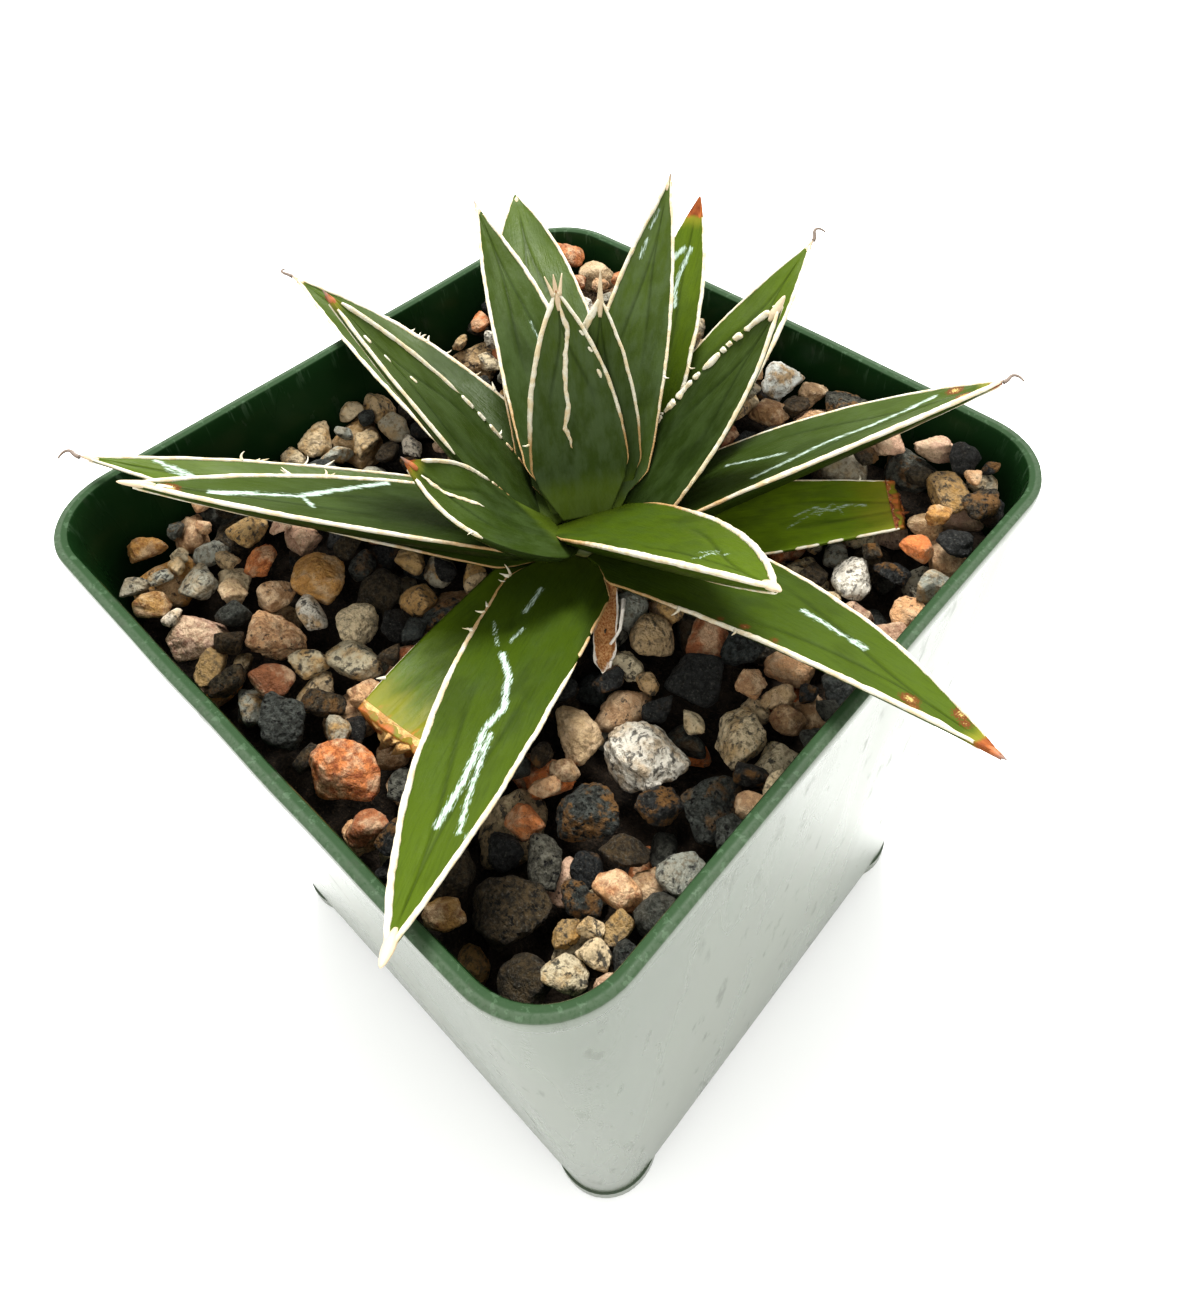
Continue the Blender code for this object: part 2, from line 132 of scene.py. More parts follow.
# How each leaf has grown and aged. tone runs from dark (0) to light green (1), bloom is the
# grey wax on it and burn the length of the brown tip. left and right are the widths of the
# horny margins, seen from the stem with the upper face up, and keel is the share of the
# length at which the horny keel line starts. dashes breaks the left margin up near the stem.
# spine is the length of bare spine, blunt rounds the blade's end, tip names the kind of spine
# and sheath is how far the blade's base runs down the stem, which it wraps where that is long.
Looks = namedtuple("Looks", "tone bloom burn left right keel dashes spine blunt tip sheath")
LOOKS = {
    "leaf_01_cut": Looks(0.5, 0, 0, 0.1, 0.1, 1, 0, 0, 0, "horn", 1.5),
    "leaf_02_cut": Looks(1.0, 0, 0, 0.3, 0.4, 1, 0, 0, 0, "horn", 1.5),
    "leaf_03": Looks(0.32, 0.08, 0, 0.5, 0.55, 0.6, 0, 1.0, 0, "thread", 1.5),
    "leaf_04": Looks(0.26, 0.03, 2.6, 0.5, 0.6, 0.7, 0, 0.5, 0, "scorched", 1.5),
    "leaf_05": Looks(0.27, 0, 0, 0.6, 0.72, 0.7, 0.3, 1.1, 0.3, "blob", 1.5),
    "leaf_06": Looks(0.25, 0.35, 0, 0.45, 0.5, 0.5, 0, 0.1, 0.9, "horn", 1.5),
    "leaf_07": Looks(0.42, 0.03, 3.2, 0.2, 0.6, 0.8, 0.8, 0.0, 0.6, "scorched", 1.5),
    "leaf_08": Looks(0.17, 0.12, 0.6, 0.6, 0.6, 0.5, 0.2, 1.2, 0.2, "thread", 1.5),
    "leaf_09": Looks(0.13, 0.12, 0, 0.65, 0.75, 0.45, 0, 1.3, 0.2, "blob", 1.5),
    "leaf_10": Looks(0.15, 0.12, 1.6, 0.45, 0.8, 0.6, 0, 0.3, 0.4, "thread", 1.5),
    "leaf_11": Looks(0.3, 0.08, 0, 0.35, 0.7, 0.35, 0, 0.8, 0.2, "thread", 1.5),
    "leaf_12": Looks(0.13, 0.2, 0, 0.55, 0.65, 0.5, 0, 0.8, 0.1, "horn", 1.5),
    "leaf_13": Looks(0.25, 0.45, 0, 0.6, 0.5, 0.6, 0, 0.7, 0.1, "horn", 2),
    "leaf_14": Looks(0.14, 0.2, 1.0, 0.5, 0.75, 0.5, 0, 0.6, 0.4, "scorched", 2),
    "leaf_15": Looks(0.08, 0.15, 0, 0.95, 0.6, 0.5, 0.85, 0.9, 0.3, "blob", 2),
    "leaf_16": Looks(0.36, 0.05, 0, 0.8, 0.8, 0.55, 0, 0.9, 0.3, "blob", 5),
    "leaf_17": Looks(0.13, 0.2, 0.9, 0.6, 0.7, 0.6, 0, 0.8, 0.4, "scorched", 4.5),
    "leaf_18": Looks(0.22, 0.55, 0.5, 0.75, 0.55, 0.6, 0, 1.8, 0.1, "crown", 5),
    "leaf_19": Looks(0.18, 0.4, 0, 1.05, 0.5, 0.6, 0, 3.4, 0, "white", 5),
}

# Pale waxy marks on the upper faces, partly real wax that the buds pressed and partly painted
# highlights: the leaf, the width in mm, and the points along the mark as shares of the leaf's
# length and of its half width.
Mark = namedtuple("Mark", "leaf width points")
WAX_AND_HIGHLIGHT_MARKS = [
    Mark("leaf_05", 0.75, [(0.11, -0.3), (0.2, -0.33)]),
    Mark("leaf_05", 0.6, [(0.25, -0.2), (0.3, -0.28)]),
    Mark("leaf_05", 0.55, [(0.25, -0.75), (0.32, -0.45)]),
    Mark("leaf_05", 1.0, [(0.34, -0.3), (0.4, 0), (0.49, 0.2), (0.54, 0.08)]),
    Mark("leaf_05", 0.9, [(0.55, 0.05), (0.62, 0.1), (0.69, 0.1), (0.78, -0.05)]),
    Mark("leaf_05", 0.75, [(0.56, 0.2), (0.67, 0.3), (0.79, 0.6)]),
    Mark("leaf_05", 0.5, [(0.76, 1), (0.8, 0.85)]),
    Mark("leaf_04", 0.75, [(0.53, 0.3), (0.64, 0.3), (0.7, 0.35)]),
    Mark("leaf_16", 0.5, [(0.7, -0.4), (0.69, 0.05), (0.73, 0.3)]),
    Mark("leaf_16", 0.45, [(0.66, -0.1), (0.69, 0.25)]),
    Mark("leaf_07", 0.9, [(0.88, 0.2), (0.83, 0.6)]),
    Mark("leaf_07", 0.8, [(0.88, -0.15), (0.81, 0.05), (0.74, 0.1), (0.68, -0.1)]),
    Mark("leaf_13", 0.5, [(0.94, 0.4), (0.88, 0.55)]),
    Mark("leaf_13", 0.6, [(0.84, 0.5), (0.78, 0.55)]),
    Mark("leaf_10", 0.7, [(0.3, 0.3), (0.38, 0.1), (0.46, -0.1)]),
    Mark("leaf_10", 0.75, [(0.36, -0.6), (0.49, -0.42), (0.67, -0.2), (0.8, 0.1), (0.88, 0.5)]),
    Mark("leaf_09", 1.0, [(0.85, 0), (0.74, -0.1), (0.65, -0.15), (0.55, -0.5), (0.42, -0.9)]),
    Mark("leaf_09", 0.7, [(0.64, -0.15), (0.61, 0.3)]),
    Mark("leaf_03", 0.8, [(0.89, -0.7), (0.83, -0.2), (0.78, 0.1)]),
    Mark("leaf_03", 0.6, [(0.86, -0.2), (0.8, 0.15)]),
    Mark("leaf_02_cut", 0.5, [(0.44, -0.05), (0.49, 0.15), (0.53, 0), (0.57, 0.15), (0.62, 0.1)]),
    Mark("leaf_02_cut", 0.4, [(0.42, -0.35), (0.5, 0.05)]),
    Mark("leaf_02_cut", 0.35, [(0.5, -0.1), (0.54, 0.25), (0.56, -0.1)]),
    Mark("leaf_06", 0.5, [(0.6, 0.2), (0.68, 0.25)]),
    Mark("leaf_12", 0.45, [(0.5, -0.3), (0.58, -0.25)]),
    Mark("leaf_08", 0.55, [(0.5, 0.1), (0.62, 0.2)]),
]
# Raised horny lines and dots on the upper faces, in the same form.
HORN_MARKS = [
    Mark(
        "leaf_18",
        0.62,
        [(0.97, -0.15), (0.82, -0.28), (0.7, 0), (0.58, 0.1), (0.42, 0.1), (0.31, 0.2), (0.2, 0.12)],
    ),
    Mark("leaf_18", 0.4, [(0.81, -0.8), (0.78, -0.82)]),
    Mark("leaf_18", 0.4, [(0.72, -0.82), (0.69, -0.84)]),
    Mark("leaf_18", 0.45, [(0.6, -0.8), (0.55, -0.8)]),
    Mark("leaf_14", 0.5, [(0.9, 0.3), (0.87, 0.25)]),
    Mark("leaf_14", 0.45, [(0.82, 0.15), (0.79, 0.1)]),
    Mark("leaf_14", 0.45, [(0.72, -0.05), (0.69, -0.05)]),
    Mark("leaf_17", 0.5, [(0.97, 0.12), (0.85, 0.08), (0.7, 0.04), (0.52, -0.03)]),
    Mark("leaf_09", 0.7, [(0.97, 0.15), (0.93, 0)]),
]
# Brown scars on the upper faces: the leaf, the place as shares, and the radius in mm.
Scar = namedtuple("Scar", "leaf along across radius")
SCARS = [
    Scar("leaf_04", 0.43, -0.85, 0.4),
    Scar("leaf_04", 0.49, -0.8, 0.5),
    Scar("leaf_04", 0.57, -0.82, 0.35),
    Scar("leaf_04", 0.85, -0.35, 0.8),
    Scar("leaf_04", 0.87, -0.65, 0.55),
    Scar("leaf_04", 0.93, 0.7, 0.7),
    Scar("leaf_04", 0.95, 0.4, 0.5),
    Scar("leaf_09", 0.94, 0.1, 0.9),
    Scar("leaf_10", 0.93, 0.6, 0.8),
    Scar("leaf_10", 0.94, -0.5, 0.8),
]

# Stones: the share of each rock among the loose ones, and the tints that each rock comes in
STONE_RECIPE = {
    "basalt": 0.36,
    "granite": 0.32,
    "quartz": 0.32,
}
TINTS = {
    "charcoal": (0.035, 0.036, 0.034),
    "slate": (0.085, 0.092, 0.08),
    "ash": (0.16, 0.16, 0.13),
    "lava": (0.1, 0.07, 0.035),
    "orange": (0.6, 0.21, 0.065),
    "amber": (0.5, 0.27, 0.08),
    "peach": (0.62, 0.37, 0.19),
    "pink": (0.55, 0.37, 0.26),
    "rust": (0.33, 0.12, 0.045),
    "brown": (0.3, 0.18, 0.085),
    "tan": (0.5, 0.36, 0.2),
    "ochre": (0.48, 0.31, 0.13),
    "cream": (0.65, 0.53, 0.34),
    "white": (0.74, 0.69, 0.58),
    "grey": (0.38, 0.36, 0.28),
}
ROCK_TINTS = {
    "basalt": ["charcoal", "charcoal", "slate", "slate", "ash", "lava", "lava"],
    "granite": ["orange", "amber", "peach", "peach", "pink", "rust", "brown", "tan"],
    "quartz": ["cream", "cream", "white", "grey", "grey", "ochre", "tan"],
}
# The tints of the pebbles of the CAD model, in their order.
PEBBLE_TINTS = """
    orange white cream charcoal slate slate lava tan lava cream brown tan
    peach amber pink lava amber slate cream charcoal lava ochre slate tan
    slate tan rust charcoal pink rust ash pink grey brown ash cream
""".split()
PEBBLE_RISE = 1.8
PEBBLE_SEED = 500
STONE_SCALE = 1.04
GRAVEL_TOP = 88.6
BANK_RISE = 8.5
LEFT_RISE = 2.6
RIGHT_RISE = 1.2
LOOSE_MOST = 1100
LOOSE_TRIES = 4
# The longest loose stone that fills a cell, for how far the cell lies below its goal.
LOOSE_SIZES = ((6, 9.0), (3.9, 8.2), (3.1, 6.0))

# The grit under the stones
BED_LEVEL = 79.8
BED_BOTTOM = 72.4
BED_HALF = 42.3
BED_BANK = 0.6
HEAP_START = 79.5


# Mesh helpers


def place_piece(obj, slot_name, *nodes):
    """Put a finished piece in the scene, on the root body, for the CAD nodes it stands for."""
    bpy.context.scene.collection.objects.link(obj)
    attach(obj, "root")
    if nodes:
        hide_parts(*nodes)
    return obj


def mesh_object(name, points, faces, surface, smooth=True):
    mesh = bpy.data.meshes.new(name)
    mesh.from_pydata([tuple(p) for p in points], [], faces)
    mesh.validate()
    mesh.materials.append(surface)
    if smooth:
        mesh.shade_smooth()
    return bpy.data.objects.new(name, mesh)


def add_vectors(obj, name, values):
    """Store one vector for each vertex."""
    layer = obj.data.attributes.new(name, "FLOAT_VECTOR", "POINT")
    layer.data.foreach_set("vector", np.asarray(values, np.float32).ravel())


def tube_faces(rings, around, first=0):
    """Quads between successive closed rings of points, and one face over each end."""
    faces = []
    for ring in range(rings - 1):
        low = first + ring * around
        high = low + around
        for step in range(around):
            following = (step + 1) % around
            faces.append((low + step, low + following, high + following, high + step))
    last = first + (rings - 1) * around
    faces.append(tuple(range(first + around - 1, first - 1, -1)))
    faces.append(tuple(range(last, last + around)))
    return faces


def smoothstep(low, high, value):
    share = np.clip((value - low) / (high - low), 0, 1)
    return share * share * (3 - 2 * share)


def wave(value, seed):
    """Smooth noise in -1 to 1 along a line."""
    return noise.noise(Vector((value, seed * 7.31, 0.37)))


# Materials


class Value:
    """A number that a node puts out. It can be added, subtracted, multiplied and spanned."""

    def __init__(self, surface, socket):
        self.surface = surface
        self.socket = socket

    def __add__(self, other):
        return self.surface.math("ADD", self, other)

    def __sub__(self, other):
        return self.surface.math("SUBTRACT", self, other)

    def __rsub__(self, other):
        return self.surface.math("SUBTRACT", other, self)

    def __mul__(self, other):
        return self.surface.math("MULTIPLY", self, other)

    def span(self, low, high, start=0.0, end=1.0):
        """Map low..high to start..end, held at both ends, along a smooth step."""
        inputs = {"Value": self, "From Min": low, "From Max": high, "To Min": start, "To Max": end}
        made = self.surface.add("ShaderNodeMapRange", inputs, interpolation_type="SMOOTHSTEP")
        return Value(self.surface, made.outputs["Result"])


class Surface:
    """A Principled material and short ways to add nodes to it."""

    def __init__(self, name, roughness=0.5, specular=0.5):
        self.material = bpy.data.materials.new(name)
        self.material.use_nodes = True
        self.tree = self.material.node_tree
        self.shader = self.tree.nodes["Principled BSDF"]
        self.shader.inputs["Roughness"].default_value = roughness
        self.shader.inputs["Specular IOR Level"].default_value = specular

    def add(self, kind, inputs=(), **settings):
        made = self.tree.nodes.new(kind)
        for key, value in settings.items():
            setattr(made, key, value)
        for key, value in dict(inputs).items():
            self.feed(made.inputs[key], value)
        return made

    def feed(self, socket, value):
        value = value.socket if isinstance(value, Value) else value
        if isinstance(value, bpy.types.NodeSocket):
            self.tree.links.new(value, socket)
        else:
            socket.default_value = value

    def vector(self, name):
        return self.add("ShaderNodeAttribute", attribute_name=name).outputs["Vector"]

    def parts(self, vector):
        made = self.add("ShaderNodeSeparateXYZ", {"Vector": vector})
        return [Value(self, output) for output in made.outputs]

    def stretched(self, vector, x, y, z):
        scale = {0: vector, 1: (x, y, z)}
        return self.add("ShaderNodeVectorMath", scale, operation="MULTIPLY").outputs["Vector"]

    def noise(self, vector, scale, detail=3, roughness=0.55, distortion=0):
        inputs = {
            "Vector": vector,
            "Scale": scale,
            "Detail": detail,
            "Roughness": roughness,
            "Distortion": distortion,
        }
        return Value(self, self.add("ShaderNodeTexNoise", inputs).outputs["Fac"])

    def math(self, operation, a, b=0.0):
        return Value(self, self.add("ShaderNodeMath", {0: a, 1: b}, operation=operation).outputs[0])

    def mix(self, share, first, second, blend="MIX"):
        made = self.add("ShaderNodeMix", {0: share}, data_type="RGBA", blend_type=blend)
        for socket, colour in ((made.inputs[6], first), (made.inputs[7], second)):
            self.feed(socket, colour if isinstance(colour, bpy.types.NodeSocket) else (*colour, 1))
        return made.outputs[2]

    def bump(self, height, distance, strength=1.0):
        inputs = {"Height": height, "Distance": distance, "Strength": strength}
        return self.add("ShaderNodeBump", inputs).outputs["Normal"]

    def finish(self, colour, roughness=None, normal=None):
        self.feed(self.shader.inputs["Base Color"], colour)
        if roughness is not None:
            self.feed(self.shader.inputs["Roughness"], roughness)
        if normal is not None:
            self.feed(self.shader.inputs["Normal"], normal)
        return self.material

    def millimetres(self):
        """Object coordinates in millimetres."""
        place = self.add("ShaderNodeTexCoord").outputs["Object"]
        return self.stretched(place, 1 / MM, 1 / MM, 1 / MM)


# The leaves' flesh
LEAF_DARK = (0.009, 0.019, 0.003)
LEAF_LIGHT = (0.12, 0.18, 0.009)
LEAF_PATCH = (0.036, 0.06, 0.012)
LEAF_SHADE = (0.3, 0.34, 0.3)
LEAF_FRESH = (0.1, 0.15, 0.007)
LEAF_VEIN = (0.008, 0.016, 0.002)
LEAF_BLOOM = (0.09, 0.122, 0.062)
LEAF_UNDER = (0.04, 0.068, 0.007)
LEAF_CREASE_SHADE = (0.006, 0.013, 0.002)
LEAF_FOOT = (0.14, 0.19, 0.016)
WAX_AND_HIGHLIGHT = (0.46, 0.56, 0.49)
SCAR_RING = (0.12, 0.04, 0.01)
SCAR_HEART = (0.42, 0.34, 0.12)
SCORCH_YELLOW = (0.2, 0.19, 0.02)
SCORCH_DARK = (0.1, 0.022, 0.008)
SCORCH_LIGHT = (0.42, 0.14, 0.04)


def leaf_material():
    """Green flesh with a pale base, faint veins, wax marks that are partly painted highlights, painted
    shade in the bud creases, scars and scorched tips.
    """
    surface = Surface("leaf_flesh", 0.4, 0.09)
    flat = surface.vector("flat")
    along, _, upper = surface.parts(surface.vector("place"))
    tone, bloom, burn = surface.parts(surface.vector("trait"))
    wax, scar, fold = surface.parts(surface.vector("paint"))
    veins = surface.noise(surface.stretched(flat, 4.2, 0.3, 1), 1, 4)
    mottle = surface.noise(surface.stretched(flat, 0.5, 0.2, 1), 1, 4, 0.6)
    cloud = surface.noise(surface.stretched(flat, 0.22, 0.09, 1), 1, 3, 0.5)
    grain = surface.noise(flat, 6, 3)
    brush = surface.noise(surface.stretched(flat, 7, 0.9, 1), 1, 4, 0.65)
    green = surface.mix(tone, LEAF_DARK, LEAF_LIGHT)
    patch = mottle.span(0.42, 0.68) * 0.35
    colour = surface.mix(patch, green, LEAF_PATCH)
    light = cloud.span(0.5, 0.62) * 0.55
    colour = surface.mix(light, colour, surface.mix(0.6, colour, LEAF_SHADE, "MULTIPLY"))
    fresh = along.span(0.35, 1.0) * (tone + 0.1)
    colour = surface.mix(fresh, colour, LEAF_FRESH)
    dark = veins.span(0.45, 0.75) * 0.2
    colour = surface.mix(dark, colour, LEAF_VEIN)
    grey = bloom * mottle.span(0.35, 0.62, 0.3, 1)
    colour = surface.mix(grey, colour, LEAF_BLOOM)
    under = (1.0 - upper) * 0.4
    colour = surface.mix(under, colour, LEAF_UNDER)
    # Painted shade: the bud creases are darkened towards a near-black green.
    crease = fold.span(0.0, 1.0) * 0.4
    colour = surface.mix(crease, colour, LEAF_CREASE_SHADE)
    base = along + mottle * 0.08
    colour = surface.mix(base.span(-0.04, 0.12, 0.4, 0), colour, LEAF_FOOT)
    # Painted highlights: the pale wax marks also stand in for the gloss highlights on the leaves.
    ragged = (brush - 0.5) * 1.5
    rough_edge = wax + ragged - 0.06
    waxed_and_highlit = rough_edge.span(-0.06, 0.3)
    colour = surface.mix(waxed_and_highlit * 0.84, colour, WAX_AND_HIGHLIGHT)
    spots = (grain - 0.5) * 1.6
    scarred = scar + spots
    healed = scarred.span(0.35, 0.75)
    bark = surface.mix(healed, SCAR_RING, SCAR_HEART)
    colour = surface.mix(scarred.span(-0.05, 0.2), colour, bark)
    scorch = burn + (mottle - 0.5) * 2.4
    yellow = scorch.span(-1.9, -0.1)
    colour = surface.mix(yellow * 0.75, colour, SCORCH_YELLOW)
    burnt = surface.mix(mottle.span(0.35, 0.65), SCORCH_DARK, SCORCH_LIGHT)
    colour = surface.mix(scorch.span(-0.2, 0.35), colour, burnt)
    gloss = cloud.span(0.35, 0.65, 0.3, 0.46)
    rough = gloss + bloom * 0.1
    height = veins * 0.3 + mottle + grain * 0.1 + waxed_and_highlit * 0.25
    return surface.finish(colour, rough, surface.bump(height, 0.35 * MM, 0.5))


# Horn
HORN_WHITE = (0.66, 0.62, 0.5)
HORN_CREAM = (0.62, 0.51, 0.32)
HORN_BROWN = (0.32, 0.16, 0.05)
HORN_TAN = (0.55, 0.38, 0.18)
HORN_PIT = (0.42, 0.27, 0.12)


def horn_material():
    """The horny margins: cream with whiter patches, tan and brown towards the stem."""
    surface = Surface("leaf_horn", 0.5, 0.4)
    age, _, _ = surface.parts(surface.vector("trait"))
    place = surface.millimetres()
    coarse = surface.noise(place, 0.7, 3, 0.6)
    fine = surface.noise(place, 4.5, 4, 0.65)
    cream = surface.mix(coarse.span(0.4, 0.65), HORN_WHITE, HORN_CREAM)
    tan = surface.mix(fine, HORN_BROWN, HORN_TAN)
    aged = age + (coarse - 0.5) * 0.7
    colour = surface.mix(aged.span(0.35, 1.0), cream, tan)
    pitted = fine.span(0.58, 0.75) * 0.35
    colour = surface.mix(pitted, colour, HORN_PIT)
    height = fine + coarse
    return surface.finish(colour, None, surface.bump(height, 0.18 * MM, 0.7))


# Spines
SPINE_HORN = (0.56, 0.45, 0.3)
SPINE_RED = (0.36, 0.12, 0.04)
SPINE_BLACK = (0.07, 0.045, 0.035)
SPINE_GREY = (0.24, 0.19, 0.16)


def spine_material():
    """Spines and threads: horn at the root, then brown, then grey at the point."""
    surface = Surface("leaf_spine", 0.5, 0.4)
    share, kind, _ = surface.parts(surface.vector("trait"))
    fine = surface.noise(surface.millimetres(), 4, 3)
    root = surface.mix(kind, SPINE_HORN, SPINE_RED)
    point = surface.mix(fine, SPINE_BLACK, SPINE_GREY)
    at = share + (fine - 0.5) * 0.3
    colour = surface.mix(at.span(0.25, 0.85), root, point)
    return surface.finish(colour, None, surface.bump(fine, 0.1 * MM, 0.6))


# Scabs
SCAB_YELLOW = (0.75, 0.5, 0.2)
SCAB_TAN = (0.45, 0.24, 0.08)
SCAB_BLACK = (0.12, 0.02, 0.012)
SCAB_RED = (0.45, 0.16, 0.04)
SCAB_FIBRE = (0.85, 0.7, 0.45)


def cut_material():
    """The drying scab on a cut leaf."""
    surface = Surface("leaf_scab", 0.75, 0.3)
    place = surface.millimetres()
    coarse = surface.noise(place, 0.8, 4, 0.65)
    fine = surface.noise(place, 5, 4, 0.7)
    age, _, _ = surface.parts(surface.vector("trait"))
    tan = surface.mix(coarse.span(0.35, 0.6), SCAB_YELLOW, SCAB_TAN)
    dark = surface.mix(coarse.span(0.35, 0.6), SCAB_BLACK, SCAB_RED)
    colour = surface.mix(age, tan, dark)
    colour = surface.mix(fine.span(0.55, 0.7, 0, 0.6), colour, SCAB_FIBRE)
    height = coarse + fine * 0.5
    return surface.finish(colour, None, surface.bump(height, 0.6 * MM, 0.9))


# The withered leaf
DRY_CHESTNUT = (0.36, 0.14, 0.045)
DRY_TAN = (0.62, 0.36, 0.16)
DRY_BLEACHED = (0.9, 0.84, 0.74)


def dried_material():
    """Papery dead leaf: chestnut inside, bleached at its torn edges."""
    surface = Surface("dried_leaf", 0.7, 0.3)
    place = surface.millimetres()
    coarse = surface.noise(place, 0.7, 4, 0.6)
    fine = surface.noise(surface.stretched(place, 4, 4, 0.7), 1, 3)
    edge, _, _ = surface.parts(surface.vector("trait"))
    brown = surface.mix(fine.span(0.35, 0.65), DRY_CHESTNUT, DRY_TAN)
    bleached = edge + (coarse - 0.5) * 1.4
    colour = surface.mix(bleached.span(0.4, 0.65), brown, DRY_BLEACHED)
    return surface.finish(colour, None, surface.bump(fine, 0.25 * MM, 0.8))


# The stem
STEM_OLIVE = (0.13, 0.15, 0.03)
STEM_TAN = (0.36, 0.3, 0.12)
STEM_GREEN = (0.05, 0.085, 0.01)
STEM_FLECK = (0.1, 0.08, 0.02)


def stem_material():
    """Tan and ringed where leaves have fallen, green at the heart."""
    surface = Surface("stem_flesh", 0.5)
    place = surface.millimetres()
    _, _, z = surface.parts(place)
    rings = surface.noise(surface.stretched(place, 0.4, 0.4, 2.2), 1, 4)
    fine = surface.noise(place, 3, 3)
    old = surface.mix(rings.span(0.35, 0.65), STEM_OLIVE, STEM_TAN)
    colour = surface.mix(z.span(88, 90), old, STEM_GREEN)
    colour = surface.mix(fine.span(0.55, 0.75, 0, 0.3), colour, STEM_FLECK)
    return surface.finish(colour, None, surface.bump(rings, 0.3 * MM, 0.6))


# The pot's plastic
PLASTIC_DARK = (0.012, 0.042, 0.012)
PLASTIC_LIGHT = (0.018, 0.056, 0.018)
PLASTIC_INSIDE_SHADE = (0.003, 0.012, 0.002)
HAZE_AND_FLOOR_REFLECTION = (0.26, 0.27, 0.23)
RIM_WORN = (0.032, 0.06, 0.028)
NICK_PALE = (0.25, 0.36, 0.24)
SCUFF = (0.06, 0.065, 0.05)
WALL_GLOSS = 0.42
RIM_GLOSS = 0.14


def pot_material():
    """Dark green moulded plastic, worn on its rim, with painted shade inside and a pale haze outside that
    is partly dust, partly painted floor reflection.
    """
    surface = Surface("pot_plastic", 0.3)
    place = surface.millimetres()
    _, _, z = surface.parts(place)
    facing = surface.add("ShaderNodeTexCoord").outputs["Normal"]
    level = surface.stretched(place, 1, 1, 0)
    outward = surface.add("ShaderNodeVectorMath", {0: facing, 1: level}, operation="DOT_PRODUCT")
    outside = Value(surface, outward.outputs["Value"]).span(-4, 4)
    broad = surface.noise(place, 0.05, 3, 0.6)
    soft = surface.noise(surface.stretched(place, 0.07, 0.07, 0.012), 1, 3, 0.5)
    fine = surface.noise(place, 2.2, 4, 0.65)
    scratch = surface.noise(surface.stretched(place, 0.9, 0.9, 0.07), 1, 3, 0.7)
    smear = surface.noise(surface.stretched(place, 0.35, 0.35, 0.12), 1, 4, 0.6)
    green = surface.mix(broad.span(0.35, 0.65), PLASTIC_DARK, PLASTIC_LIGHT)
    # Painted shade: the pot's inner faces are mixed almost halfway towards a near-black green.
    colour = surface.mix(outside, surface.mix(0.45, green, PLASTIC_INSIDE_SHADE), green)
    # Partly dust and partly a painted reflection of the bright floor: the outer walls are mixed towards a
    # pale grey.
    dust_and_reflection = soft.span(0.35, 0.7, 0.75, 1) * (outside * 0.6)
    colour = surface.mix(dust_and_reflection, colour, HAZE_AND_FLOOR_REFLECTION)
    rim = z.span(POT_HEIGHT - 0.3, POT_HEIGHT - 0.08)
    worn = rim * fine.span(0.42, 0.75, 0.8, 1)
    colour = surface.mix(worn, colour, RIM_WORN)
    nicks = z.span(POT_HEIGHT - 4, POT_HEIGHT) * scratch.span(0.56, 0.64)
    colour = surface.mix(nicks * 0.1, colour, NICK_PALE)
    scuffed = smear.span(0.58, 0.74) * 0.12
    colour = surface.mix(scuffed * 3, colour, SCUFF)
    rough = soft.span(0.35, 0.7, 0.24, 0.3) + scuffed * 0.9 + rim * 0.25
    gloss = z.span(POT_HEIGHT - 0.35, POT_HEIGHT - 0.1, WALL_GLOSS, RIM_GLOSS)
    gloss = gloss * (outside * 0.75 + 0.25)
    surface.feed(surface.shader.inputs["Specular IOR Level"], gloss)
    height = fine * 0.1 + smear * 0.5
    return surface.finish(colour, rough, surface.bump(height, 0.2 * MM, 0.18))


# Grit and potting mix
SOIL_FLECK = (0.15, 0.1, 0.06)


def soil_material(name, dark, light):
    """Fine dark grains with paler flecks."""
    surface = Surface(name, 0.9, 0.3)
    place = surface.millimetres()
    coarse = surface.noise(place, 0.35, 4, 0.6)
    fine = surface.noise(place, 2.5, 4, 0.65)
    colour = surface.mix(coarse.span(0.35, 0.65), dark, light)
    colour = surface.mix(fine.span(0.5, 0.75, 0, 0.6), colour, SOIL_FLECK)
    return surface.finish(colour, None, surface.bump(fine, 0.9 * MM, 1.0))


# Basalt
BASALT_SHADE = (0.2, 0.2, 0.17)
BASALT_GRIT = (0.16, 0.155, 0.13)
BASALT_RUST = (0.22, 0.11, 0.03)
BASALT_PORE_SHADE = (0.008, 0.007, 0.005)


def basalt_material():
    """Charcoal, grey and brown-black stone, mottled and finely broken, some of it porous with painted
    shade in the pores.
    """
    surface = Surface("basalt", 0.62, 0.35)
    place, tint, (_, porous, rusty) = stone_inputs(surface)
    fine = surface.noise(place, 1.5, 6, 0.72)
    grit = surface.noise(place, 3.4, 4, 0.7)
    crust = surface.noise(place, 0.4, 4, 0.65)
    layers = surface.noise(surface.stretched(place, 0.5, 0.5, 3), 1, 4, 0.7)
    pores = surface.noise(place, 1.9, 3, 0.6)
    colour = surface.mix(fine.span(0.35, 0.62), tint, BASALT_SHADE, "MULTIPLY")
    colour = surface.mix(grit.span(0.52, 0.7, 0, 0.55), colour, BASALT_GRIT)
    rust = rusty.span(0.45, 0.9) * crust.span(0.48, 0.6)
    colour = surface.mix(rust * 0.8, colour, BASALT_RUST)
    # Painted shade: the pores, hollowed only in the bump, are darkened almost to black.
    hollow = porous.span(0.5, 0.6) * pores.span(0.43, 0.36)
    colour = surface.mix(hollow, colour, BASALT_PORE_SHADE)
    height = fine + crust * 0.8 + layers * 0.5 - hollow * 1.2
    return surface.finish(colour, fine.span(0.3, 0.7, 0.4, 0.75), surface.bump(height, 1.0 * MM, 1.0))


# Granite
FELDSPAR = (0.66, 0.5, 0.32)
GRANITE_STAIN = (0.24, 0.09, 0.025)
GRANITE_CRACK = (0.09, 0.045, 0.02)
MICA = (0.022, 0.018, 0.014)


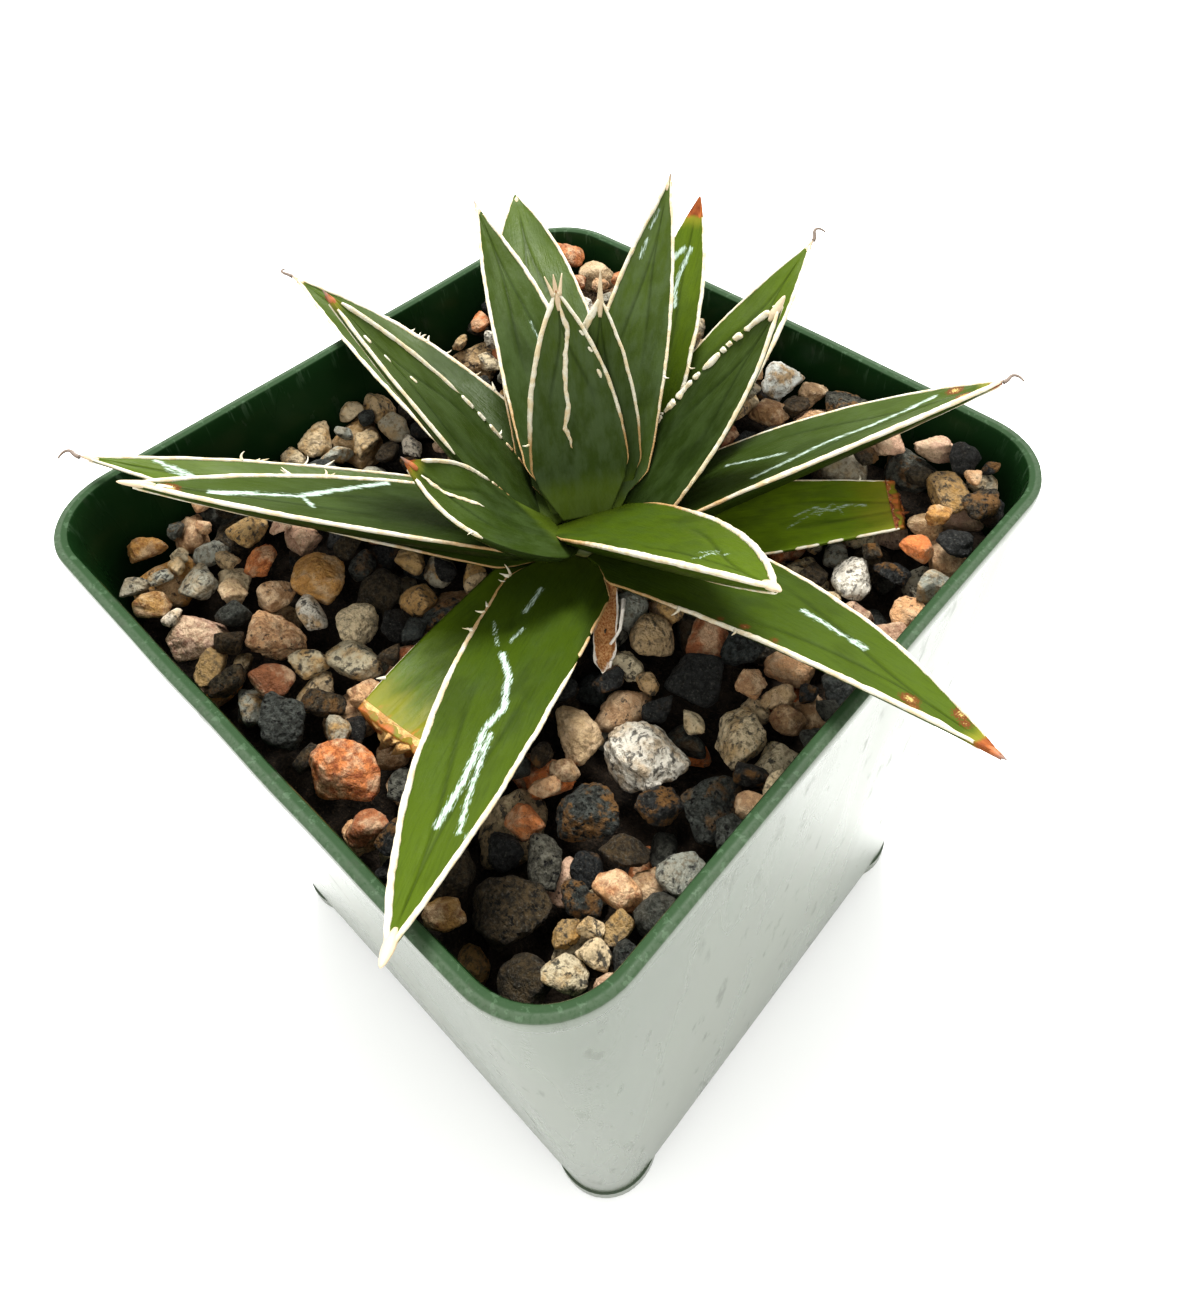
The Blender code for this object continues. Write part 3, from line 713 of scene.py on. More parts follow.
def granite_material():
    """Orange, pink and peach stone with pale feldspar, dark mica and stained hollows."""
    surface = Surface("granite", 0.5, 0.45)
    place, tint, (_, flecked, stained) = stone_inputs(surface)
    patch = surface.noise(place, 0.45, 4, 0.6)
    fine = surface.noise(place, 1.3, 5, 0.7)
    mica = surface.noise(place, 1.5, 4, 0.65)
    colour = surface.mix(patch.span(0.44, 0.62, 0, 0.6), tint, FELDSPAR)
    shade = fine.span(0.46, 0.64) * stained.span(0, 1, 0.35, 0.9)
    colour = surface.mix(shade, colour, surface.mix(0.8, colour, GRANITE_STAIN, "MULTIPLY"))
    crack = surface.math("ABSOLUTE", fine - 0.5).span(0.018, 0.0, 0, 0.75)
    colour = surface.mix(crack, colour, GRANITE_CRACK)
    specks = flecked.span(0.5, 0.9, 0, 0.85) * mica.span(0.58, 0.66)
    colour = surface.mix(specks, colour, MICA)
    height = fine + patch
    return surface.finish(colour, fine.span(0.3, 0.7, 0.36, 0.62), surface.bump(height, 0.9 * MM, 0.9))


# Quartz
QUARTZ_OCHRE = (0.42, 0.24, 0.07)
QUARTZ_STAIN = (0.14, 0.105, 0.06)
QUARTZ_FLECK = (0.025, 0.024, 0.02)


def quartz_material():
    """White, cream, grey and ochre stone with clear grains, stains and dark flecks."""
    surface = Surface("quartz", 0.4, 0.5)
    place, tint, (_, flecked, stained) = stone_inputs(surface)
    patch = surface.noise(place, 0.5, 4, 0.6)
    fine = surface.noise(place, 1.4, 5, 0.7)
    fleck = surface.noise(place, 1.1, 5, 0.65, 0.4)
    ochre = patch.span(0.45, 0.65) * stained.span(0.1, 1, 0.1, 0.85)
    colour = surface.mix(ochre, tint, QUARTZ_OCHRE)
    colour = surface.mix(fine.span(0.47, 0.64, 0, 0.75), colour, QUARTZ_STAIN)
    specks = flecked.span(0.15, 0.6, 0, 0.9) * fleck.span(0.53, 0.62)
    colour = surface.mix(specks, colour, QUARTZ_FLECK)
    height = fine + patch
    return surface.finish(colour, fine.span(0.3, 0.7, 0.28, 0.58), surface.bump(height, 0.9 * MM, 0.9))


def stone_inputs(surface):
    """Coordinates in millimetres, moved for each stone, its tint and its random traits."""
    trait = surface.vector("trait")
    shift = surface.stretched(trait, 370, 53, 71)
    place = surface.add("ShaderNodeVectorMath", {0: surface.millimetres(), 1: shift}, operation="ADD")
    tint = surface.add("ShaderNodeAttribute", attribute_name="tint").outputs["Color"]
    return place.outputs["Vector"], tint, surface.parts(trait)


def floor_material():
    """A plain white floor."""
    surface = Surface("floor", 0.9, 0.2)
    surface.shader.inputs["Base Color"].default_value = (0.93, 0.93, 0.92, 1)
    return surface.material


# Pot and fill


def rounded_square(half, radius, corner_steps, side_steps):
    """Points of a rounded square in mm, counterclockwise."""
    inner = half - radius
    points = []
    for quarter in range(4):
        turn = quarter * math.pi / 2
        cos, sin = math.cos(turn), math.sin(turn)
        local = []
        for step in range(corner_steps + 1):
            angle = step / corner_steps * math.pi / 2
            local.append((inner + radius * math.cos(angle), inner + radius * math.sin(angle)))
        for step in range(1, side_steps):
            local.append((inner - 2 * inner * step / side_steps, half))
        points += [(x * cos - y * sin, x * sin + y * cos) for x, y in local]
    return points


# How far the walls' middles move at the rim: the back and front ones along Y, the side ones
# outwards. The ripple is random.
BOW_BACK = 0.8
BOW_FRONT = -0.28
BOW_SIDES = -0.35
WALL_RIPPLE = 0.16


def pot_ring(height, inset):
    """The pot's outline at a height, moved in by an inset, with the walls' slight bow."""
    share = (height - FOOT_HEIGHT) / (POT_HEIGHT - FOOT_HEIGHT)
    half = POT_HALF_BASE + (POT_HALF_TOP - POT_HALF_BASE) * share - inset
    radius = CORNER_BASE + (CORNER_TOP - CORNER_BASE) * share - inset
    ring = []
    for x, y in rounded_square(half, radius, 14, 26):
        middle_x = max(0, 1 - (x / half) ** 2)
        middle_y = max(0, 1 - (y / half) ** 2)
        bow_y = middle_x * share**2 * (BOW_BACK if y > 0 else BOW_FRONT)
        bow_x = BOW_SIDES * middle_y * share**2
        ripple = WALL_RIPPLE * share**3 * wave(x / 14 + y / 17, 3) * max(middle_x, middle_y)
        on_side = abs(x) > half * 0.9
        on_end = abs(y) > half * 0.9
        ring.append((x + (bow_x + ripple) * np.sign(x) * on_side, y + (bow_y + ripple) * on_end, height))
    return ring


# The rim's profile: how far below the top, and how far in from the wall's outer face
RIM_PROFILE = [
    (2.6, -0.03),
    (2.35, -0.2),
    (2.0, -0.25),
    (0.5, -0.22),
    (0.15, -0.08),
    (0, 0.2),
    (0, WALL - 0.6),
    (0.12, WALL - 0.36),
    (0.5, WALL - 0.2),
    (3, WALL - 0.1),
]


def make_pot(surface):
    """The pot's shell with its rolled rim, raised floor, corner feet and drain holes."""
    profile = [(FOOT_HEIGHT, 0.8), (FOOT_HEIGHT + 0.25, 0.25), (FOOT_HEIGHT + 0.9, 0)]
    profile += [(height, 0) for height in np.linspace(6, POT_HEIGHT - 3.4, 22)]
    profile += [(POT_HEIGHT - drop, inset) for drop, inset in RIM_PROFILE]
    profile += [(height, WALL) for height in np.linspace(POT_HEIGHT - 9, 8, 14)]
    profile += [(FOOT_HEIGHT + FLOOR + 1.2, WALL), (FOOT_HEIGHT + FLOOR, WALL + 1.2)]
    rings = [pot_ring(height, inset) for height, inset in profile]
    around = len(rings[0])
    points = [Vector(point) * MM for ring in rings for point in ring]
    faces = tube_faces(len(rings), around)
    pot = mesh_object("pot_shell", points, faces, surface)
    forms = []
    centre = POT_HALF_BASE - CORNER_BASE
    for x, y in ((1, 1), (-1, 1), (-1, -1), (1, -1)):
        foot = (centre * x, centre * y, 0, FOOT_HEIGHT + FOOT_SINK, FOOT_SHOWN)
        forms.append((turned("foot_form", *foot, surface), "UNION"))
    for x, y in ((0, 0), (1, 0), (-1, 0), (0, 1), (0, -1)):
        hole = (DRAIN_OFFSET * x, DRAIN_OFFSET * y, *DRAIN_SPAN, DRAIN_RADIUS)
        forms.append((turned("drain_form", *hole, surface), "DIFFERENCE"))
    shape_with(pot, forms)
    pot.data.shade_smooth()
    pot.data.set_sharp_from_angle(angle=math.radians(SHARP_ANGLE))
    return place_piece(pot, "pot_plastic", "pot")


def shape_with(obj, forms):
    """Join each form to the object, or cut it away, then remove it."""
    bpy.context.scene.collection.objects.link(obj)
    for form, operation in forms:
        join = obj.modifiers.new("join", "BOOLEAN")
        join.operation = operation
        join.object = form
        join.solver = "EXACT"
    bpy.context.view_layer.update()
    graph = bpy.context.evaluated_depsgraph_get()
    mesh = bpy.data.meshes.new_from_object(obj.evaluated_get(graph))
    obj.modifiers.clear()
    obj.data = mesh
    for form, _ in forms:
        bpy.data.objects.remove(form, do_unlink=True)
    bpy.context.scene.collection.objects.unlink(obj)


def turned(name, x, y, low, high, radius, surface):
    """A plain round form for the pot's feet and holes, slightly eased at its lower edge."""
    around = 48
    rings = [(low, radius - 0.35), (low + 0.35, radius), (high, radius)]
    points = []
    for height, r in rings:
        for step in range(around):
            angle = step / around * 2 * math.pi
            points.append(Vector((x + r * math.cos(angle), y + r * math.sin(angle), height)) * MM)
    faces = tube_faces(len(rings), around)
    obj = mesh_object(name, points, faces, surface)
    bpy.context.scene.collection.objects.link(obj)
    return obj


# Stones


# The heap's height map. A cell is filled until a random jitter no longer lifts what it lacks
# over the least of LOOSE_SIZES.
GRID_STEP = 0.5
GRID_HALF = 42.0
CORNER_CLEAR = 8.6
BLOCKED = 200
CLEAR_SKY = 300.0
HEADROOM = 3.5
LACK_JITTER = 2.2
OVER_GOAL = 0.9
SHOWN_DEPTH = 4.5
PLANES = 14


def bank(y):
    """How much the gravel is banked up towards the +Y wall."""
    return BANK_RISE * smoothstep(10, 36, y)


def aim(x, y):
    """The height that the stones' tops are filled up to."""
    left = LEFT_RISE * smoothstep(16, 40, -x)
    return GRAVEL_TOP + bank(y) + left + RIGHT_RISE * smoothstep(26, 40, x)


def stone_points(directions, size, seed):
    """A worn stone: a rounded polyhedron of random planes, with dents and broken skin."""
    draw = np.random.default_rng(seed)
    planes = draw.normal(size=(PLANES, 3))
    planes /= np.linalg.norm(planes, axis=1)[:, None]
    depth = draw.uniform(0.74, 1.0, PLANES)
    power = draw.uniform(7, 20)
    reach = np.clip(directions @ planes.T, 0, None) / depth
    radius = np.power(np.power(reach, power).sum(axis=1) + 1e-9, -1 / power)
    radius = np.minimum(radius, 1.3)
    shift = Vector(draw.uniform(-50, 50, 3))
    rough = draw.uniform(0.05, 0.13)
    dents = np.array([noise.fractal(Vector(d) * 2.2 + shift, 0.75, 2.1, 5) for d in directions])
    shape = directions * (radius * (1 + rough * dents))[:, None]
    shape *= np.array(size) / (shape.max(axis=0) - shape.min(axis=0))
    return shape - (shape.max(axis=0) + shape.min(axis=0)) / 2


def icosphere(levels):
    """Unit directions and triangles of a subdivided icosahedron."""
    golden = (1 + 5**0.5) / 2
    corners = []
    for a in (-1, 1):
        for b in (-golden, golden):
            corners += [(0, a, b), (a, b, 0), (b, 0, a)]
    corners = [Vector(c).normalized() for c in corners]
    edge = min((corners[0] - c).length for c in corners[1:]) * 1.01
    faces = []
    for i in range(12):
        for j in range(i + 1, 12):
            for k in range(j + 1, 12):
                a, b, c = corners[i], corners[j], corners[k]
                if max((a - b).length, (b - c).length, (c - a).length) < edge:
                    outward = (b - a).cross(c - a).dot(a) > 0
                    faces.append((i, j, k) if outward else (i, k, j))
    for _ in range(levels):
        middles = {}

        def middle(i, j):
            key = (min(i, j), max(i, j))
            if key not in middles:
                corners.append(((corners[i] + corners[j]) / 2).normalized())
                middles[key] = len(corners) - 1
            return middles[key]

        split = []
        for i, j, k in faces:
            a, b, c = middle(i, j), middle(j, k), middle(k, i)
            split += [(i, a, c), (a, j, b), (c, b, k), (a, b, c)]
        faces = split
    return np.array([tuple(c) for c in corners]), faces


def turn_matrix(draw, tilt):
    """A random turn about Z after a random tilt of up to tilt radians."""
    spin = Matrix.Rotation(draw.uniform(0, 2 * math.pi), 3, "Z")
    lean = Matrix.Rotation(draw.uniform(-tilt, tilt), 3, "X")
    return np.array(spin @ lean)


class Heap:
    """A height map of the gravel, on which each new stone settles."""

    def __init__(self, leaves):
        count = int(2 * GRID_HALF / GRID_STEP) + 1
        axis = np.linspace(-GRID_HALF, GRID_HALF, count)
        self.axis = axis
        self.x, self.y = np.meshgrid(axis, axis, indexing="ij")
        self.top = HEAP_START + BED_BANK * bank(self.y)
        corner_x = np.abs(self.x) - (GRID_HALF - CORNER_CLEAR)
        corner_y = np.abs(self.y) - (GRID_HALF - CORNER_CLEAR)
        outside = (corner_x > 0) & (corner_y > 0) & (np.hypot(corner_x, corner_y) > CORNER_CLEAR)
        self.top[outside] = BLOCKED
        self.goal = aim(self.x, self.y)
        self.roof = self.find_roof(leaves)
        self.open = (self.top < BLOCKED) & (self.roof - self.top > HEADROOM)

    def find_roof(self, leaves):
        """The lowest leaf or stem over each cell."""
        roof = np.full(self.x.shape, CLEAR_SKY)
        for obj in leaves:
            tree = BVHTree.FromObject(obj, bpy.context.evaluated_depsgraph_get())
            points = np.array([v.co for v in obj.data.vertices]) / MM
            low, high = points.min(axis=0) - 1, points.max(axis=0) + 1
            inside = (self.x > low[0]) & (self.x < high[0]) & (self.y > low[1]) & (self.y < high[1])
            for i, j in zip(*np.nonzero(inside)):
                origin = Vector((self.axis[i], self.axis[j], 60)) * MM
                hit = tree.ray_cast(origin, Vector((0, 0, 1)))
                if hit[0] is not None:
                    roof[i, j] = min(roof[i, j], hit[0].z / MM)
        return roof

    def deepest(self, jitter):
        """The open cell that lies furthest below its goal, and by how much."""
        lack = np.where(self.open, np.minimum(self.goal, self.roof - 0.3) - self.top, -100) + jitter
        at = np.unravel_index(np.argmax(lack), lack.shape)
        return at, lack[at]

    def window(self, x, y, reach):
        """The cells within reach of a place, as two slices."""
        low_i = int((x - reach + GRID_HALF) / GRID_STEP)
        low_j = int((y - reach + GRID_HALF) / GRID_STEP)
        span = int(2 * reach / GRID_STEP) + 2
        return slice(max(low_i, 0), low_i + span), slice(max(low_j, 0), low_j + span)

    def shells(self, points, x, y):
        """The window, the cells under a stone, and how far its skin is from its middle there."""
        low, high = points.min(axis=0), points.max(axis=0)
        reach = max(-low[0], high[0], -low[1], high[1]) + GRID_STEP
        window = self.window(x, y, reach)
        half = (high - low) / 2
        flat = ((self.x[window] - x) / half[0]) ** 2 + ((self.y[window] - y) / half[1]) ** 2
        arch = np.sqrt(np.clip(1 - flat**1.3, 0, 1))
        return window, flat < 1, half[2] * arch

    def settle(self, points, x, y):
        """The centre height at which a stone rests on the heap, or None where it can't lie."""
        window, inside, arch = self.shells(points, x, y)
        if not inside.any() or self.top[window][inside].max() >= BLOCKED:
            return None
        height = np.quantile((self.top[window] + arch)[inside], 0.96)
        over = (self.roof[window] - arch)[inside].min()
        if height > over - 0.25:
            return None
        return height

    def add(self, points, x, y, z):
        """Raise the heap by a stone that lies on it."""
        window, inside, arch = self.shells(points, x, y)
        raised = np.where(inside, z + arch, -100)
        self.top[window] = np.maximum(self.top[window], raised)


def make_stones(frame, surfaces):
    """Fill the pot's mouth with loose stones around the pebbles of the CAD model."""
    plant = [bpy.data.objects[n] for n in frame["nodes"] if n.startswith(("leaf", "stem", "dried"))]
    pebbles = sorted(n for n in frame["nodes"] if n.startswith("pebble"))
    heap = Heap(plant)
    draw = random.Random(11)
    lay_pebbles(pebbles, heap, draw, surfaces)
    pour_loose(heap, draw, surfaces)


def lay_pebbles(nodes, heap, draw, surfaces):
    """A worn stone for each pebble of the CAD model."""
    directions, faces = icosphere(4)
    for index, node in enumerate(nodes):
        low, high = (np.array(c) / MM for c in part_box(node))
        rock = node.split("_")[2]
        shape = stone_points(directions, (high - low) * STONE_SCALE, PEBBLE_SEED + index)
        x, y, z = (low + high) / 2
        if heap.settle(shape, x, y) is not None:
            z += PEBBLE_RISE
        stone = (shape + np.array((x, y, z)), faces, TINTS[PEBBLE_TINTS[index]], stone_trait(draw))
        place_piece(stone_object(f"{node}_stone", [stone], surfaces[rock]), rock, node)
        heap.add(shape, x, y, z)


def find_rest(heap, draw, directions, cell, most):
    """A random loose stone that can lie over a cell: its place, shape, size, seed and turn."""
    for attempt in range(LOOSE_TRIES):
        length = most * draw.uniform(0.66, 1) * (1 - 0.12 * attempt)
        size = (length, length * draw.uniform(0.66, 0.92), length * draw.uniform(0.55, 0.82))
        seed = draw.randrange(10**6)
        spin = turn_matrix(draw, 0.6)
        shape = stone_points(directions, size, seed) @ spin.T
        inner = GRID_HALF - 0.3 + shape.min(axis=0)[:2]
        x = float(np.clip(heap.axis[cell[0]] + draw.uniform(-0.6, 0.6), -inner[0], inner[0]))
        y = float(np.clip(heap.axis[cell[1]] + draw.uniform(-0.6, 0.6), -inner[1], inner[1]))
        z = heap.settle(shape, x, y)
        if z is not None and z + shape[:, 2].max() < aim(x, y) + OVER_GOAL:
            return (x, y, z), shape, size, seed, spin
    return None


def pour_loose(heap, draw, surfaces):
    """Loose stones over the deepest cells, one by one, until the heap is full."""
    fine, rough = icosphere(3), icosphere(2)
    piles = {}
    count = 0
    chance = np.random.default_rng(4)
    while count < LOOSE_MOST:
        (i, j), lack = heap.deepest(chance.uniform(0, LACK_JITTER, heap.top.shape))
        if lack <= LOOSE_SIZES[-1][0]:
            break
        most = next(size for deep, size in LOOSE_SIZES if lack > deep)
        rest = find_rest(heap, draw, rough[0], (i, j), most)
        if rest is None:
            heap.open[max(i - 1, 0):i + 2, max(j - 1, 0):j + 2] = False
            continue
        (x, y, z), shape, size, seed, spin = rest
        heap.add(shape, x, y, z)
        count += 1
        shown = z + shape[:, 2].max() > aim(x, y) - SHOWN_DEPTH
        directions, faces = fine if shown else rough
        if shown:
            shape = stone_points(directions, size, seed) @ spin.T
        rock = draw.choices(list(STONE_RECIPE), list(STONE_RECIPE.values()))[0]
        red, green, blue = TINTS[draw.choice(ROCK_TINTS[rock])]
        bright, warm = draw.uniform(0.75, 1.15), draw.uniform(-0.08, 0.08)
        tint = (red * bright * (1 + warm), green * bright, blue * bright * (1 - warm))
        pile = (rock, "left" if x < y else "right", "top" if shown else "deep")
        piles.setdefault(pile, []).append((shape + np.array((x, y, z)), faces, tint, stone_trait(draw)))
    for pile, stones in sorted(piles.items()):
        place_piece(stone_object("loose_" + "_".join(pile), stones, surfaces[pile[0]]), pile[0])


def stone_trait(draw):
    return draw.random(), draw.random(), draw.random()


def stone_object(name, stones, surface):
    """One mesh of many stones; each stone's tint and traits are stored on its points."""
    points = []
    faces = []
    traits = []
    tints = []
    for shape, triangles, tint, trait in stones:
        first = len(points)
        points += [tuple(p) for p in shape * MM]
        faces += [(a + first, b + first, c + first) for a, b, c in triangles]
        traits += [trait] * len(shape)
        tints += [(*tint, 1)] * len(shape)
    obj = mesh_object(name, points, faces, surface)
    add_vectors(obj, "trait", traits)
    layer = obj.data.attributes.new("tint", "FLOAT_COLOR", "POINT")
    layer.data.foreach_set("color", np.asarray(tints, np.float32).ravel())
    return obj


def make_bed(surface):
    """The dark grit under the stones."""
    count = 130
    half = BED_HALF
    points = []
    for i in range(count):
        for j in range(count):
            x = -half + 2 * half * i / (count - 1)
            y = -half + 2 * half * j / (count - 1)
            x, y = into_corner(x, y, half)
            grit = 0.9 * noise.noise(Vector((x / 1.4, y / 1.4, 0)))
            grit += 0.6 * noise.noise(Vector((x / 4, y / 4, 9)))
            points.append(Vector((x, y, BED_LEVEL + BED_BANK * bank(y) + grit)) * MM)
    faces = []
    for i in range(count - 1):
        for j in range(count - 1):
            a = i * count + j
            faces.append((a, a + count, a + count + 1, a + 1))
    rim = [i * count for i in range(count)]
    rim += [(count - 1) * count + j for j in range(1, count)]
    rim += [i * count + count - 1 for i in range(count - 2, -1, -1)]
    rim += range(count - 2, 0, -1)
    low = len(points)
    for index in rim:
        points.append(Vector((points[index].x, points[index].y, BED_BOTTOM * MM)))
    for step in range(len(rim)):
        following = (step + 1) % len(rim)
        faces.append((rim[following], rim[step], low + step, low + following))
    faces.append(tuple(range(low + len(rim) - 1, low - 1, -1)))
    bed = mesh_object("grit_bed", points, faces, surface)
    return place_piece(bed, "fine_gravel", "gravel_bed")


def into_corner(x, y, half):
    """Pull a point of the square grid into the pot's rounded corner."""
    inner = half - CORNER_CLEAR
    over_x, over_y = abs(x) - inner, abs(y) - inner
    if over_x <= 0 or over_y <= 0:
        return x, y
    reach = math.hypot(over_x, over_y)
    pull = max(over_x, over_y) / reach
    return math.copysign(inner + over_x * pull, x), math.copysign(inner + over_y * pull, y)


# Leaves


def leaf_direction(leaf, share):
    rise = math.radians(leaf.rise + leaf.curl * share)
    azimuth = math.radians(leaf.azimuth + leaf.sweep * share)
    flat = math.cos(rise)
    return Vector((flat * math.cos(azimuth), flat * math.sin(azimuth), math.sin(rise)))


class LeafShape:
    """A leaf's axis and section at any share of its length, in mm."""

    STEPS = 200

    def __init__(self, leaf):
        looks = LOOKS[leaf.name]
        self.leaf = leaf
        self.end = 1 + (SPINE_LENGTH - looks.spine) / leaf.length
        self.taper = TAPER_POWER * (1 + 0.9 * looks.blunt)
        self.base = BASE_WIDTH if looks.sheath < WRAPPING_SHEATH else WRAPPED_BASE
        self.imprint = 0.45 + 0.12 * math.sin(leaf.azimuth)
        azimuth = math.radians(leaf.azimuth)
        place = Vector((STEM[0], STEM[1], leaf.base_height))
        place += Vector((math.cos(azimuth), math.sin(azimuth), 0)) * leaf.start
        self.places = [place]
        for step in range(self.STEPS):
            middle = (step + 0.5) / self.STEPS
            place = place + leaf_direction(leaf, middle) * leaf.length / self.STEPS
            self.places.append(place)

    def frame(self, share):
        """The place, side, face and along vectors at a share of the length."""
        at = min(max(share, 0), 1) * self.STEPS
        low = min(int(at), self.STEPS - 1)
        place = self.places[low].lerp(self.places[low + 1], at - low)
        along = leaf_direction(self.leaf, min(max(share, 0), 1))
        place = place + along * (share - min(max(share, 0), 1)) * self.leaf.length
        level = Vector((0, 0, 1)).cross(along).normalized()
        side = Matrix.Rotation(math.radians(self.leaf.twist), 3, along) @ level
        return place, side, along.cross(side), along

    def half(self, share):
        """Half the blade's width."""
        spread = self.base + (1 - self.base) * float(smoothstep(0, BASE_SPREAD, share))
        spread += 2 * min(share, 0)
        ripple = 1 + 0.02 * wave(share * 6, self.leaf.azimuth)
        at = min(max(share, 0) / self.end, 1)
        return self.leaf.width / 2 * (1 - at**self.taper) * spread * ripple

    def keel(self, share):
        """How far the keel stands out under the blade."""
        at = min(max(share, 0) / self.end, 1)
        return KEEL * self.leaf.width * (1 - at**KEEL_POWER)

    def fold(self, share, across):
        """0 to 1 in the creases that the bud pressed beside the middle and near the tip."""
        half_span = self.imprint * (1 - float(smoothstep(0.45, 0.93, share)))
        near = abs(abs(across) - half_span)
        ridge = max(0.0, 1 - near / 0.085)
        fade = float(smoothstep(0.3, 0.62, share)) * (1 - float(smoothstep(0.93, 0.99, share)))
        return ridge * fade

    def upper(self, share, across, lift=0.0):
        """A point on the upper face, in mm, lifted off it if asked."""
        place, side, face, _ = self.frame(share)
        half = self.half(share)
        groove = CHANNEL * (1 + 2.2 * float(smoothstep(0.55, 0.92, share)))
        sink = groove * half * (1 - across * across)
        swell = noise.noise(Vector((across * 1.3, share * self.leaf.length / 9, self.leaf.azimuth)))
        lift += 0.22 * swell * (1 - across**4) - 0.16 * self.fold(share, across)
        return place + side * (half * across) + face * (EDGE / 2 - sink + lift)

    def lower(self, share, across, lift=0.0):
        """A point on the keeled lower face, in mm."""
        place, side, face, _ = self.frame(share)
        half = self.half(share)
        flank = 1 - abs(across) ** 1.25
        return place + side * (half * across) - face * (EDGE / 2 + self.keel(share) * flank + lift)


UPPER_STEPS = 40
LOWER_STEPS = 22
ALONG_STEPS = 150
TORN_STEPS = 8
TORN_DEPTH = 0.016
CUT_FADE = 0.3
UNBURNT = -9
UNMARKED = -3.0


def make_leaf(leaf, surfaces):
    """The leaf's flesh, with the traits that its material reads."""
    shape = LeafShape(leaf)
    looks = LOOKS[leaf.name]
    start = -looks.sheath / leaf.length
    end = leaf.kept if leaf.kept < 1 else shape.end - 0.1 / leaf.length
    points, place, flat, trait, fold = [], [], [], [], []
    columns = [(1 - 2 * i / UPPER_STEPS, 1) for i in range(UPPER_STEPS + 1)]
    columns += [(-1 + 2 * i / LOWER_STEPS, 0) for i in range(1, LOWER_STEPS)]
    for ring in range(ALONG_STEPS + 1):
        step = ring / ALONG_STEPS
        share = start + (end - start) * (step + 0.06 * math.sin(math.pi * step) * step)
        half = shape.half(share)
        burn = share * leaf.length - (shape.end * leaf.length - looks.burn) if looks.burn else UNBURNT
        if leaf.kept < 1:
            burn = (share - leaf.kept) * leaf.length * CUT_FADE + 0.25
        for across, upper in columns:
            at = share
            if leaf.kept < 1 and ring > ALONG_STEPS - TORN_STEPS:
                torn = noise.noise(Vector((across * 3, upper, leaf.azimuth)))
                at += (ring - ALONG_STEPS + TORN_STEPS) / TORN_STEPS * TORN_DEPTH * torn
            where = shape.upper(at, across) if upper else shape.lower(at, across)
            points.append(where * MM)
            place.append((share, across, upper))
            flat.append((across * half, share * leaf.length, leaf.azimuth + 40 * upper))
            trait.append((looks.tone, looks.bloom, burn))
            fold.append(shape.fold(share, across) * upper)
    around = len(columns)
    faces = tube_faces(ALONG_STEPS + 1, around)
    blade = mesh_object(f"{leaf.name}_blade", points, faces, surfaces["leaf"])
    spots = np.array(flat)[:, :2]
    wax = wax_and_highlight_depth([mark for mark in WAX_AND_HIGHLIGHT_MARKS if mark.leaf == leaf.name], leaf, shape, spots)
    scar = scar_depth([scar for scar in SCARS if scar.leaf == leaf.name], leaf, shape, spots)
    below = np.array(place)[:, 2] < 0.5
    wax[below] = UNMARKED
    scar[below] = UNMARKED
    paint = np.stack([wax, scar, np.array(fold)], axis=1)
    for name, values in (("place", place), ("flat", flat), ("trait", trait), ("paint", paint)):
        add_vectors(blade, name, values)
    flip_if_inward(blade)
    slot_name = "cut_leaf" if leaf.kept < 1 else "leaf"
    place_piece(blade, slot_name, leaf.name)
    return shape


def flip_if_inward(obj):
    """Turn a closed mesh's faces outwards."""
    mesh = obj.data
    volume = 0
    for polygon in mesh.polygons:
        volume += polygon.center.dot(polygon.normal) * polygon.area
    if volume < 0:
        mesh.flip_normals()


def wax_and_highlight_depth(marks, leaf, shape, spots):
    """How far inside a wax mark (partly a painted highlight) each point of the face is, in mm; negative
    outside.
    """
    depth = np.full(len(spots), UNMARKED)
    for mark in marks:
        stops = [np.array((a * shape.half(s), s * leaf.length)) for s, a in mark.points]
        for first, second in zip(stops, stops[1:]):
            line = second - first
            t = np.clip((spots - first) @ line / (line @ line), 0, 1)
            gap = np.linalg.norm(spots - first - t[:, None] * line, axis=1)
            depth = np.maximum(depth, mark.width / 2 - gap)
    return depth


def scar_depth(scars, leaf, shape, spots):
    """How far inside a scar each point of the face is, in mm; negative outside."""
    depth = np.full(len(spots), UNMARKED)
    for scar in scars:
        middle = np.array((scar.across * shape.half(scar.along), scar.along * leaf.length))
        gap = np.linalg.norm((spots - middle) * (1, 0.7), axis=1)
        depth = np.maximum(depth, scar.radius - gap)
    return depth


# A direction that no thread follows
THREAD_AXIS = Vector((0.3, 0.2, 0.93))


class Strips:
    """Collects tubes of oval section into one mesh.

    Each row of a tube holds its middle, its side and lift directions, its half width and half
    height, and what its material reads.
    """

    AROUND = 10

    def __init__(self):
        self.points = []
        self.faces = []
        self.traits = []

    def add(self, rows):
        first = len(self.points)
        for place, side, lift, wide, high, trait in rows:
            for step in range(self.AROUND):
                angle = step / self.AROUND * 2 * math.pi
                offset = side * (wide * math.cos(angle)) + lift * (high * math.sin(angle))
                self.points.append((place + offset) * MM)
                self.traits.append(trait)
        self.faces += tube_faces(len(rows), self.AROUND, first)

    def thread(self, places, radii, trait):
        """A round thread through the places."""
        rows = []
        for index, (place, radius) in enumerate(zip(places, radii)):
            before = places[max(index - 1, 0)]
            after = places[min(index + 1, len(places) - 1)]
            along = (after - before).normalized()
            side = along.cross(THREAD_AXIS).normalized()
            rows.append((place, side, along.cross(side), radius, radius, trait))
        self.add(rows)

    def build(self, name, surface, slot_name):
        if not self.points:
            return
        obj = mesh_object(name, self.points, self.faces, surface)
        add_vectors(obj, "trait", self.traits)
        flip_if_inward(obj)
        place_piece(obj, slot_name)


